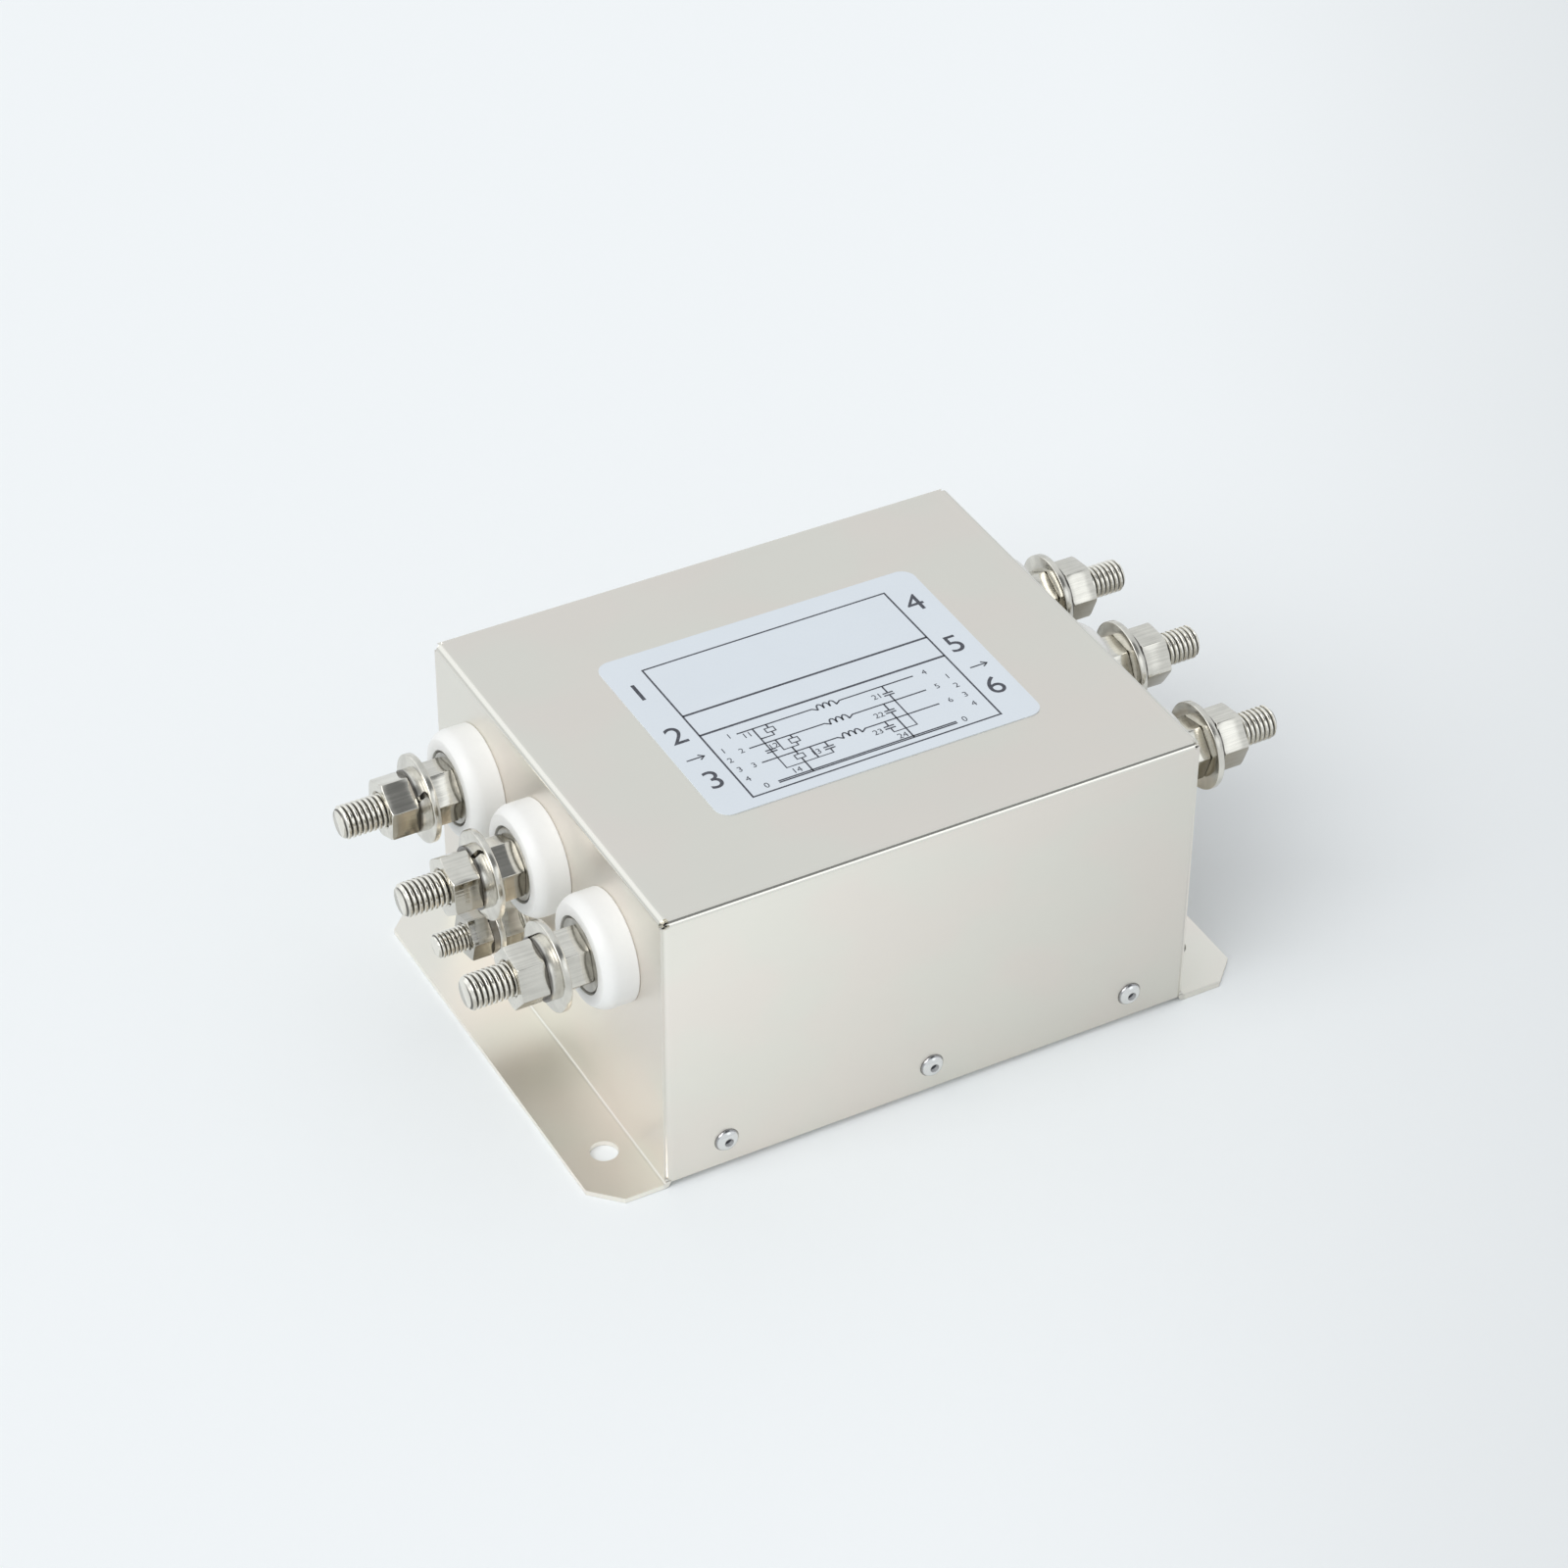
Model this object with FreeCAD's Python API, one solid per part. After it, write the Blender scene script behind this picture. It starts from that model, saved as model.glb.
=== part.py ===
import FreeCAD, Part
import os
from math import atan2, cos, degrees, radians, sin, sqrt, tan

# Three-phase line filter: a folded sheet-metal case with three insulated
# terminals and one earth bolt at each end, and a wound choke with its
# capacitor boards inside. All sizes are millimetres.
# The origin is the middle of the case's footprint, on the mounting surface.
# X runs from the input end to the output end, Y to the back wall, Z up.

Vec = FreeCAD.Vector
X_AXIS = Vec(1, 0, 0)
Y_AXIS = Vec(0, 1, 0)
Z_AXIS = Vec(0, 0, 1)

# Case: one sheet, folded down on four sides and out again at both ends.
case_length = 134.0
case_width = 114.0
case_height = 75.0
sheet = 1.2
top_bend = 0.3
corner_bend = 0.3
foot_bend = 0.5
corner_relief = 1.8
lap_gap = 0.1
floor_gap = 0.2

# Mounting flanges.
flange_reach = 16.5
flange_chamfer = 6.5
mount_hole = 6.5
mount_hole_offset = 7.25
mount_margin = 16.0

# Floor tray, riveted inside the long walls.
tray_lip_height = 14.0
tray_lip_setback = 9.0
tray_end_gap = 0.3
tray_bend = 1.0
rivet_margin = 15.0
rivet_height = 8.0
rivet_shank = 3.0
rivet_hole_clearance = 0.1
rivet_head = 6.0
rivet_head_height = 1.3
rivet_bulb = 4.6
rivet_bulb_length = 3.0
mandrel_hole = 2.0
mandrel_depth = 0.9

# Rating label on the top.
label_margin_x = 26.25
label_margin_y = 26.0
label_corner = 3.5
label_thickness = 0.25
label_shift = 1.5

# Terminals: three at each end, the middle one a little higher.
terminal_share = 0.2895
terminal_drop = 22.7
middle_rise = 1.5
stud_diameter = 8.0
stud_reach = 35.3
stud_chamfer = 0.9
thread_clearance = 0.1
insulator_diameter = 26.4
insulator_height = 8.2
insulator_front = 23.6
insulator_round = 4.8
recess_diameter = 18.0
recess_depth = 1.8
neck_diameter = 15.0
neck_length = 2.0
neck_clearance = 0.2
stud_bore_clearance = 0.15
bush_diameter = 22.0
bush_thickness = 5.0
bush_margin = 3.0

# Terminal hardware, from the insulator outwards.
seat_washer_diameter = 17.0
seat_washer_thickness = 1.6
nut_flats = 13.0
nut_height = 6.7
nut_face_share = 0.54
flat_washer_diameter = 21.0
flat_washer_thickness = 1.6
washer_clearance = 0.25
spring_washer_diameter = 14.8
spring_washer_thickness = 2.0
spring_split = 1.2
spring_slant = 25.0
split_angle = 40.0
lug_thickness = 1.5
lug_drop = 10.5
lug_barrel_diameter = 6.0
lug_barrel_length = 11.0
lug_barrel_bore = 4.4
stud_tail = 2.0
seat_nut_turns = {-1: (49.0, 36.0, 15.0), 1: (28.0, 2.0, 48.0)}
clamp_nut_turns = {-1: (36.0, 22.0, 10.0), 1: (52.0, 1.0, 51.0)}

# Earth bolts, one at each end below and between two terminals.
earth_share = 0.44
earth_height = 24.6
earth_diameter = 6.0
earth_reach = 21.5
earth_chamfer = 0.7
earth_head_flats = 10.0
earth_head_height = 4.0
earth_nut_height = 5.0
earth_washer_diameter = 12.0
earth_washer_thickness = 1.4
earth_spring_diameter = 11.2
earth_spring_thickness = 1.4
earth_nut_turns = (50.0, 46.0)
earth_split_angle = 70.0
strap_width = 9.0
strap_thickness = 0.8
strap_landing = 9.0

# Common-mode choke: a ring core in a plastic case with three windings.
core_setback = 37.0
core_bore_share = 0.567
core_case_wall = 1.5
core_gap = 0.3
wire_width = 3.2
wire_thickness = 1.8
wire_gap = 0.7
turn_gap = 1.0
winding_span_angle = 90.0
winding_start_angles = (135.0, 305.0, 200.0)
winding_senses = (-1, 1, 1)
pad_thickness = 2.5
pad_margin = 1.0
clamp_disc_diameter = 44.0
clamp_disc_thickness = 3.0
post_diameter = 5.0
post_tail = 2.0
post_nut_flats = 8.0
post_nut_height = 4.0
tail_lead = 3.0
lead_clearance = 2.8

# Capacitor boards, one beside each row of terminals.
board_width = 18.0
board_margin = 7.0
board_thickness = 1.6
board_clearance = 2.0
board_height = 8.0
post_foot_diameter = 6.0
screw_diameter = 3.0
screw_head_diameter = 5.5
screw_head_height = 2.0
screw_inset = 4.0
x_capacitor_width = 10.0
x_capacitor_headroom = 10.2
screw_clearance = 0.25
y_capacitor = (11.0, 8.0, 13.0)
resistor_diameter = 3.6
resistor_length = 8.0
resistor_pitch = 5.0

# Derived places that several pieces share.
half_length = case_length / 2
half_width = case_width / 2
top_bend_outside = top_bend + sheet
mount_spacing_y = case_width - 2 * mount_margin
rivet_spacing = half_length - rivet_margin
label_length = case_length - 2 * label_margin_x
label_depth = case_width - 2 * label_margin_y
terminal_pitch = case_width * terminal_share
terminal_height = case_height - terminal_drop
lip_width = half_width - terminal_pitch - bush_diameter / 2 - bush_margin
earth_offset = terminal_pitch * earth_share
inner_wall = half_length - sheet
wall_inside = half_width - sheet
stud_radius = stud_diameter / 2
stack_seat = insulator_height - recess_depth
stack_nut = stack_seat + seat_washer_thickness
stack_flat = stack_nut + nut_height
stack_spring = stack_flat + flat_washer_thickness
stack_clamp = stack_spring + spring_washer_thickness
inner_washer_at = -(sheet + bush_thickness)
lug_at = inner_washer_at - seat_washer_thickness
inner_nut_at = lug_at - lug_thickness
stud_inner_end = inner_nut_at - nut_height - stud_tail
core_radius = half_length - core_setback
core_bore_radius = core_radius * core_bore_share
case_outer_radius = core_radius + core_gap + core_case_wall
case_inner_radius = core_bore_radius - core_gap - core_case_wall
coil_outer = case_outer_radius + wire_gap + wire_thickness / 2
coil_inner = case_inner_radius - wire_gap - wire_thickness / 2
turn_angle = degrees((wire_width + turn_gap) / coil_inner)
winding_turns = int(winding_span_angle // turn_angle)
pad_top = sheet + pad_thickness
lead_height = terminal_height - lug_drop
winding_wall = wire_thickness + 2 * wire_gap
core_case_height = lead_height - lead_clearance - clamp_disc_thickness - pad_top - 2 * winding_wall
core_height = core_case_height - 2 * (core_gap + core_case_wall)
coil_bottom = pad_top + wire_gap + wire_thickness / 2
core_case_bottom = coil_bottom + wire_thickness / 2 + wire_gap
coil_top = core_case_bottom + core_case_height + wire_gap + wire_thickness / 2
clamp_disc_at = coil_top + wire_thickness / 2 + wire_gap
board_edge = coil_outer + wire_thickness / 2 + board_clearance
board_middle = board_edge + board_width / 2
board_top = board_height + board_thickness
board_depth = case_width - 2 * board_margin
screw_place = board_depth / 2 - screw_inset
x_capacitor_reach = screw_place - screw_head_diameter / 2 - screw_clearance - terminal_pitch
x_capacitor_height = lead_height - lug_barrel_diameter / 2 - board_top - x_capacitor_headroom
x_capacitor = (x_capacitor_width, 2 * x_capacitor_reach, x_capacitor_height)


def terminal_place(index):
    """Y and Z of terminal 1, 2 or 3, counted from the back wall."""
    y = terminal_pitch * (2 - index)
    z = terminal_height + (middle_rise if index == 2 else 0.0)
    return y, z


def strip_face(points, bends, thickness, normal):
    """Section of a folded sheet: a middle line with rounded bends.

    points are the corners of the middle line, bends the inside radius at
    each corner between them, and normal the axis that the section faces.
    """
    pieces = []
    here = points[0]
    for k in range(1, len(points) - 1):
        into = (points[k] - points[k - 1]).normalize()
        away = (points[k + 1] - points[k]).normalize()
        half_turn = into.getAngle(away) / 2
        radius = bends[k - 1] + thickness / 2
        reach = radius * tan(half_turn)
        start = points[k] - into * reach
        end = points[k] + away * reach
        bisector = (away - into).normalize()
        centre = points[k] + bisector * (radius / cos(half_turn))
        if (start - here).Length > 1e-6:
            pieces.append((here, start, None))
        pieces.append((start, end, centre))
        here = end
    if (points[-1] - here).Length > 1e-6:
        pieces.append((here, points[-1], None))

    def offset_edges(side):
        edges = []
        for start, end, centre in pieces:
            if centre is None:
                sideways = normal.cross((end - start).normalize()) * (side * thickness / 2)
                edges.append(Part.LineSegment(start + sideways, end + sideways).toShape())
                continue
            spoke = start - centre
            turn_side = 1 if normal.cross(spoke).dot(end - start) > 0 else -1
            scale = (spoke.Length - turn_side * side * thickness / 2) / spoke.Length
            middle = ((start - centre) + (end - centre)).normalize() * spoke.Length
            arc = Part.Arc(centre + spoke * scale, centre + middle * scale,
                           centre + (end - centre) * scale)
            edges.append(arc.toShape())
        return edges

    left = offset_edges(1)
    right = offset_edges(-1)
    first = Part.LineSegment(right[0].firstVertex().Point, left[0].firstVertex().Point)
    last = Part.LineSegment(left[-1].lastVertex().Point, right[-1].lastVertex().Point)
    wire = Part.Wire(Part.__sortEdges__(left + [last.toShape()] + right + [first.toShape()]))
    return Part.Face(wire)


def box(x0, x1, y0, y1, z0, z1):
    """Block between two opposite corners."""
    return Part.makeBox(x1 - x0, y1 - y0, z1 - z0, Vec(x0, y0, z0))


def turned(profile):
    """Body turned about the X axis from (x, radius) points; a triple is an arc's middle and end."""
    edges = []
    here = profile[0]
    for step in profile[1:] + [profile[0]]:
        if len(step) == 4:
            middle = Vec(step[0], 0, step[1])
            arc = Part.Arc(Vec(here[0], 0, here[1]), middle, Vec(step[2], 0, step[3]))
            edges.append(arc.toShape())
            here = step[2:]
        else:
            edges.append(Part.LineSegment(Vec(here[0], 0, here[1]), Vec(step[0], 0, step[1])).toShape())
            here = step
    return Part.Face(Part.Wire(edges)).revolve(Vec(0, 0, 0), X_AXIS, 360)


def ring(x, thickness, outer, inner):
    """Plain washer across the X axis."""
    return turned([(x, inner / 2), (x, outer / 2), (x + thickness, outer / 2), (x + thickness, inner / 2)])


def split_ring(x, thickness, outer, inner, turn):
    """Spring washer with a slanted split, pressed flat."""
    body = ring(x, thickness, outer, inner)
    cutter = Part.makeBox(4 * thickness, outer, spring_split,
                          Vec(x + thickness / 2 - 2 * thickness, 0, -spring_split / 2))
    cutter.rotate(Vec(x + thickness / 2, 0, 0), Y_AXIS, spring_slant)
    cutter.rotate(Vec(0, 0, 0), X_AXIS, turn)
    return body.cut(cutter)


def hex_prism(x, height, flats, turn):
    """Hexagonal prism along X with one corner at the given angle from Y."""
    radius = flats / sqrt(3)
    corners = []
    for k in range(7):
        angle = radians(turn + 60 * k)
        corners.append(Vec(x, radius * cos(angle), radius * sin(angle)))
    return Part.Face(Part.makePolygon(corners)).extrude(Vec(height, 0, 0))


def hex_nut(x, height, flats, bore, turn):
    """Hexagonal nut with its corners lightly turned off at both faces."""
    corner = flats / sqrt(3) + 0.01
    face_radius = nut_face_share * flats
    depth = (corner - face_radius) * tan(radians(30))
    barrel = turned([(x, 0), (x, face_radius), (x + depth, corner),
                     (x + height - depth, corner), (x + height, face_radius), (x + height, 0)])
    hole = Part.makeCylinder(bore / 2, height + 2, Vec(x - 1, 0, 0), X_AXIS)
    return hex_prism(x, height, flats, turn).common(barrel).cut(hole)


def placed_at_end(shape, side, y, z):
    """Move a piece built along +X, from the wall's face, to its place on an end wall."""
    moved = shape.copy()
    if side < 0:
        moved.rotate(Vec(0, 0, 0), Z_AXIS, 180)
    moved.translate(Vec(side * half_length, y, z))
    return moved


def world_turn(side, angle):
    """Angle to build with, so that a corner points at this angle in the finished part."""
    return angle if side > 0 else 180 - angle


def make_cover():
    # Ends, top and flanges are one hat-shaped strip across the whole width.
    mid = sheet / 2
    hat = strip_face(
        [Vec(-half_length - flange_reach, -half_width, mid),
         Vec(-half_length + mid, -half_width, mid),
         Vec(-half_length + mid, -half_width, case_height - mid),
         Vec(half_length - mid, -half_width, case_height - mid),
         Vec(half_length - mid, -half_width, mid),
         Vec(half_length + flange_reach, -half_width, mid)],
        [foot_bend, top_bend, top_bend, foot_bend], sheet, Y_AXIS)
    cover = hat.extrude(Vec(0, case_width, 0))
    flat_edge = half_length - corner_relief
    wall_bottom = sheet + floor_gap
    for side in (-1, 1):
        # The long wall folds down from the top between the corner reliefs.
        y_edge = side * (half_width - top_bend_outside)
        y_out = side * (half_width + 1)
        strip = sorted((y_edge, y_out))
        cover = cover.cut(box(-flat_edge, flat_edge, strip[0], strip[1],
                              case_height - 2 * sheet, case_height + 1))
        wall_mid = side * (half_width - mid)
        fold = strip_face(
            [Vec(-flat_edge, wall_mid, wall_bottom),
             Vec(-flat_edge, wall_mid, case_height - mid),
             Vec(-flat_edge, y_edge, case_height - mid)],
            [top_bend], sheet, X_AXIS)
        cover = cover.fuse(fold.extrude(Vec(2 * flat_edge, 0, 0)))
        # Its ends fold in again and lap behind the end walls.
        lip_mid = inner_wall - lap_gap - mid
        channel = strip_face(
            [Vec(-lip_mid, side * (half_width - lip_width), wall_bottom),
             Vec(-lip_mid, wall_mid, wall_bottom),
             Vec(lip_mid, wall_mid, wall_bottom),
             Vec(lip_mid, side * (half_width - lip_width), wall_bottom)],
            [corner_bend, corner_bend], sheet, Z_AXIS)
        lip_height = case_height - corner_relief - wall_bottom
        cover = cover.fuse(channel.extrude(Vec(0, 0, lip_height)))
        # Small square reliefs where three folds meet.
        for end in (-1, 1):
            x_span = sorted((end * flat_edge, end * (half_length + 1)))
            y_span = sorted((side * (half_width - corner_relief), side * (half_width + 1)))
            cover = cover.cut(box(x_span[0], x_span[1], y_span[0], y_span[1],
                                  case_height - corner_relief, case_height + 1))
    for end in (-1, 1):
        tip = end * (half_length + flange_reach)
        for side in (-1, 1):
            corner = [Vec(tip, side * half_width, -1),
                      Vec(tip - end * flange_chamfer, side * half_width, -1),
                      Vec(tip, side * (half_width - flange_chamfer), -1)]
            corner.append(corner[0])
            cover = cover.cut(Part.Face(Part.makePolygon(corner)).extrude(Vec(0, 0, sheet + 2)))
            hole_at = Vec(end * (half_length + mount_hole_offset), side * mount_spacing_y / 2, -1)
            cover = cover.cut(Part.makeCylinder(mount_hole / 2, sheet + 2, hole_at))
            for spot in (-1, 0, 1):
                cover = cover.cut(rivet_hole(spot, side))
        for index in (1, 2, 3):
            y, z = terminal_place(index)
            cover = cover.cut(end_hole(end, y, z, neck_diameter + 2 * neck_clearance))
        cover = cover.cut(end_hole(end, earth_offset, earth_height, earth_diameter + 2 * thread_clearance))
    return cover.removeSplitter()


def end_hole(end, y, z, diameter):
    """Round cutter through an end wall."""
    depth = 3 * sheet
    return Part.makeCylinder(diameter / 2, depth, Vec(end * half_length - depth / 2, y, z), X_AXIS)


def rivet_hole(spot, side):
    """Round cutter through a long wall and the tray lip behind it."""
    depth = 6 * sheet
    radius = rivet_shank / 2 + rivet_hole_clearance
    start = Vec(spot * rivet_spacing, side * half_width - depth / 2, rivet_height)
    return Part.makeCylinder(radius, depth, start, Y_AXIS)


def make_bottom_tray():
    mid = sheet / 2
    lip_mid = wall_inside - lap_gap / 2 - mid
    length = inner_wall - tray_end_gap
    section = strip_face(
        [Vec(-length, -lip_mid, tray_lip_height),
         Vec(-length, -lip_mid, mid),
         Vec(-length, lip_mid, mid),
         Vec(-length, lip_mid, tray_lip_height)],
        [tray_bend, tray_bend], sheet, X_AXIS)
    tray = section.extrude(Vec(2 * length, 0, 0))
    for side in (-1, 1):
        for end in (-1, 1):
            x_span = sorted((end * (half_length - tray_lip_setback), end * half_length))
            y_span = sorted((side * (lip_mid - mid - tray_bend), side * half_width))
            tray = tray.cut(box(x_span[0], x_span[1], y_span[0], y_span[1], sheet, tray_lip_height + 1))
        for spot in (-1, 0, 1):
            tray = tray.cut(rivet_hole(spot, side))
    return tray.removeSplitter()


def make_rivets():
    # Blind rivets: a domed head outside, a bulb behind the tray lip.
    radius = rivet_shank / 2
    head = rivet_head / 2
    hole = mandrel_hole / 2
    grip = 2 * sheet + lap_gap / 2
    rise = rivet_head_height
    dome = (rise * 0.75, 0.72 * head, rise, hole + 0.3)
    profile = [(-grip - rivet_bulb_length, 0), (-grip - rivet_bulb_length, radius),
               (-grip - rivet_bulb_length / 2, rivet_bulb / 2), (-grip, rivet_bulb / 2), (-grip, radius),
               (0, radius), (0, head), dome, (rise, hole), (rise - mandrel_depth, hole),
               (rise - mandrel_depth, 0)]
    rivet = turned(profile)
    rivets = []
    for side in (-1, 1):
        for spot in (-1, 0, 1):
            one = rivet.copy()
            one.rotate(Vec(0, 0, 0), Z_AXIS, 90 * side)
            one.translate(Vec(spot * rivet_spacing, side * half_width, rivet_height))
            rivets.append(one)
    return rivets


def make_label():
    plate = box(label_shift - label_length / 2, label_shift + label_length / 2,
                -label_depth / 2, label_depth / 2, case_height, case_height + label_thickness)
    corners = [edge for edge in plate.Edges if abs(edge.Length - label_thickness) < 1e-6]
    return plate.makeFillet(label_corner, corners)


def make_insulator(side, index):
    # Outer bush: a disc with a rounded shoulder and a recess for the washer,
    # and a neck that passes through the wall.
    radius = insulator_diameter / 2
    front = insulator_front / 2
    fall = radius - front
    run = sqrt(insulator_round ** 2 - (insulator_round - fall) ** 2)
    start = insulator_height - run
    sweep = atan2(run, insulator_round - fall)
    middle = (start + insulator_round * sin(sweep / 2), radius - insulator_round * (1 - cos(sweep / 2)))
    bore = stud_radius + stud_bore_clearance
    neck = neck_diameter / 2
    body = turned([(-sheet - neck_length, bore), (-sheet - neck_length, neck), (0, neck), (0, radius),
                   (start, radius), middle + (insulator_height, front),
                   (insulator_height, recess_diameter / 2), (stack_seat, recess_diameter / 2),
                   (stack_seat, bore)])
    return placed_at_end(body, side, *terminal_place(index))


def make_inner_bush(side, index):
    # Inner half of the insulation, with a socket for the neck.
    socket = neck_diameter / 2 + neck_clearance
    floor = -sheet - neck_length - neck_clearance
    back = -sheet - bush_thickness
    bore = stud_radius + stud_bore_clearance
    body = turned([(-sheet, socket), (-sheet, bush_diameter / 2), (back, bush_diameter / 2),
                   (back, bore), (floor, bore), (floor, socket)])
    return placed_at_end(body, side, *terminal_place(index))


def make_stud(side, index):
    chamfer = stud_chamfer
    tip = stud_reach
    root = stud_inner_end
    body = turned([(root, 0), (root, stud_radius - chamfer), (root + chamfer, stud_radius),
                   (tip - chamfer, stud_radius), (tip, stud_radius - chamfer), (tip, 0)])
    return placed_at_end(body, side, *terminal_place(index))


def every_terminal(build):
    """One copy of a fastener at each of the six terminals."""
    pieces = []
    for side in (-1, 1):
        for index in (1, 2, 3):
            pieces.append(placed_at_end(build(side, index), side, *terminal_place(index)))
    return pieces


def make_terminal_hardware():
    bore = stud_diameter + 2 * thread_clearance
    washer_bore = stud_diameter + 2 * washer_clearance

    def seat_nut(side, index):
        turn = world_turn(side, seat_nut_turns[side][index - 1])
        return hex_nut(stack_nut, nut_height, nut_flats, bore, turn)

    def clamp_nut(side, index):
        turn = world_turn(side, clamp_nut_turns[side][index - 1])
        return hex_nut(stack_clamp, nut_height, nut_flats, bore, turn)

    def spring(side, index):
        return split_ring(stack_spring, spring_washer_thickness, spring_washer_diameter,
                          washer_bore, split_angle * index)

    return {
        "seat_washers": every_terminal(
            lambda side, index: ring(stack_seat, seat_washer_thickness, seat_washer_diameter, washer_bore)),
        "seat_nuts": every_terminal(seat_nut),
        "flat_washers": every_terminal(
            lambda side, index: ring(stack_flat, flat_washer_thickness, flat_washer_diameter, washer_bore)),
        "spring_washers": every_terminal(spring),
        "clamp_nuts": every_terminal(clamp_nut),
        "inner_washers": every_terminal(
            lambda side, index: ring(lug_at, seat_washer_thickness, seat_washer_diameter, washer_bore)),
        "inner_nuts": every_terminal(
            lambda side, index: hex_nut(inner_nut_at - nut_height, nut_height, nut_flats, bore, 0)),
    }


def make_ring_lugs():
    # Crimp lugs: an eye on the stud, a tongue down past the nut and a barrel
    # that points at the choke.
    def lug(side, index):
        eye = ring(inner_nut_at, lug_thickness, seat_washer_diameter, stud_diameter + 2 * washer_clearance)
        half = lug_barrel_diameter / 2
        tongue = box(inner_nut_at, lug_at, -half, half, -lug_drop, -stud_radius - 1)
        barrel = Part.makeCylinder(half, lug_barrel_length + lug_thickness,
                                   Vec(lug_at, 0, -lug_drop), Vec(-1, 0, 0))
        bore = Part.makeCylinder(lug_barrel_bore / 2, lug_barrel_length,
                                 Vec(inner_nut_at - 0.5, 0, -lug_drop), Vec(-1, 0, 0))
        return eye.fuse(tongue).fuse(barrel).cut(bore).removeSplitter()
    return every_terminal(lug)


def make_earth_bolt(side):
    radius = earth_diameter / 2
    head = -sheet - strap_thickness - earth_head_height
    shank = turned([(head, 0), (head, radius), (earth_reach - earth_chamfer, radius),
                    (earth_reach, radius - earth_chamfer), (earth_reach, 0)])
    bolt = shank.fuse(hex_prism(head, earth_head_height, earth_head_flats, 0)).removeSplitter()
    return placed_at_end(bolt, side, earth_offset, earth_height)


def make_earth_hardware():
    bore = earth_diameter + 2 * thread_clearance
    washer_bore = earth_diameter + 2 * washer_clearance
    nut_at = earth_washer_thickness
    flat_at = nut_at + earth_nut_height
    spring_at = flat_at + earth_washer_thickness
    clamp_at = spring_at + earth_spring_thickness

    def both(build):
        return [placed_at_end(build(side), side, earth_offset, earth_height) for side in (-1, 1)]

    def nut(x, angle):
        return lambda side: hex_nut(x, earth_nut_height, earth_head_flats, bore,
                                    world_turn(side, angle))

    def spring(side):
        return split_ring(spring_at, earth_spring_thickness, earth_spring_diameter,
                          washer_bore, earth_split_angle)

    return {
        "earth_seat_washers": both(
            lambda side: ring(0, earth_washer_thickness, earth_washer_diameter, washer_bore)),
        "earth_seat_nuts": both(nut(nut_at, earth_nut_turns[0])),
        "earth_flat_washers": both(
            lambda side: ring(flat_at, earth_washer_thickness, earth_washer_diameter, washer_bore)),
        "earth_spring_washers": both(spring),
        "earth_clamp_nuts": both(nut(clamp_at, earth_nut_turns[1])),
    }


def make_earth_strap(side):
    # Flat copper strap from the bolt's head down to the board.
    mid = strap_thickness / 2
    wall = side * (inner_wall - mid)
    end = side * (board_edge + board_width - strap_landing / 3)
    section = strip_face(
        [Vec(wall, 0, earth_height + strap_width / 2),
         Vec(wall, 0, board_top + mid),
         Vec(end, 0, board_top + mid)],
        [strap_thickness], strap_thickness, Y_AXIS)
    strap = section.extrude(Vec(0, strap_width, 0))
    strap.translate(Vec(0, earth_offset - strap_width / 2, 0))
    hole = Part.makeCylinder(earth_diameter / 2 + thread_clearance, 4 * strap_thickness,
                             Vec(wall - 2 * strap_thickness, earth_offset, earth_height), X_AXIS)
    return strap.cut(hole)


def tube(outer, inner, z0, z1):
    """Upright ring about the Z axis."""
    body = Part.makeCylinder(outer, z1 - z0, Vec(0, 0, z0))
    return body.cut(Part.makeCylinder(inner, z1 - z0, Vec(0, 0, z0)))


def make_choke_core():
    z0 = core_case_bottom + core_case_wall + core_gap
    return tube(core_radius, core_bore_radius, z0, z0 + core_height)


def make_core_case():
    # A deep lower cup and a flat lid.
    z0 = core_case_bottom
    z1 = z0 + core_case_height
    lid = tube(case_outer_radius, case_inner_radius, z1 - core_case_wall, z1)
    cup = tube(case_outer_radius, case_inner_radius, z0, z1 - core_case_wall)
    well = tube(case_outer_radius - core_case_wall, case_inner_radius + core_case_wall,
                z0 + core_case_wall, z1)
    return cup.cut(well), lid


def on_ring(radius, angle, z):
    return Vec(radius * cos(radians(angle)), radius * sin(radians(angle)), z)


def make_winding(index):
    # One length of flat copper wire: in from its lug, down the outside of the
    # core, round it turn by turn, and away to the lug at the other end.
    y, z = terminal_place(index)
    run_z = z - lug_drop
    start = winding_start_angles[index - 1]
    sense = winding_senses[index - 1]
    step = sense * turn_angle
    mouth = half_length + inner_nut_at - lug_barrel_length
    deep = mouth + 0.7 * lug_barrel_length
    points = [Vec(-deep, y, run_z), Vec(-mouth + tail_lead, y, run_z)]
    hints = [Y_AXIS, Y_AXIS]
    angle = start
    points.append(on_ring(coil_outer, angle, run_z))
    hints.append(Z_AXIS.cross(on_ring(1, angle, 0)))
    for turn in range(winding_turns):
        tangent = Z_AXIS.cross(on_ring(1, angle, 0))
        points.append(on_ring(coil_outer, angle, coil_bottom))
        hints.append(tangent)
        angle += step / 2
        tangent = Z_AXIS.cross(on_ring(1, angle, 0))
        points.append(on_ring(coil_inner, angle, coil_bottom))
        hints.append(tangent)
        points.append(on_ring(coil_inner, angle, coil_top))
        hints.append(tangent)
        angle += step / 2
        tangent = Z_AXIS.cross(on_ring(1, angle, 0))
        points.append(on_ring(coil_outer, angle, coil_top))
        hints.append(tangent)
    points.append(on_ring(coil_outer, angle, run_z))
    hints.append(tangent)
    points.append(Vec(mouth - tail_lead, y, run_z))
    hints.append(Y_AXIS)
    points.append(Vec(deep, y, run_z))
    hints.append(Y_AXIS)
    return flat_wire(points, hints)


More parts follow.
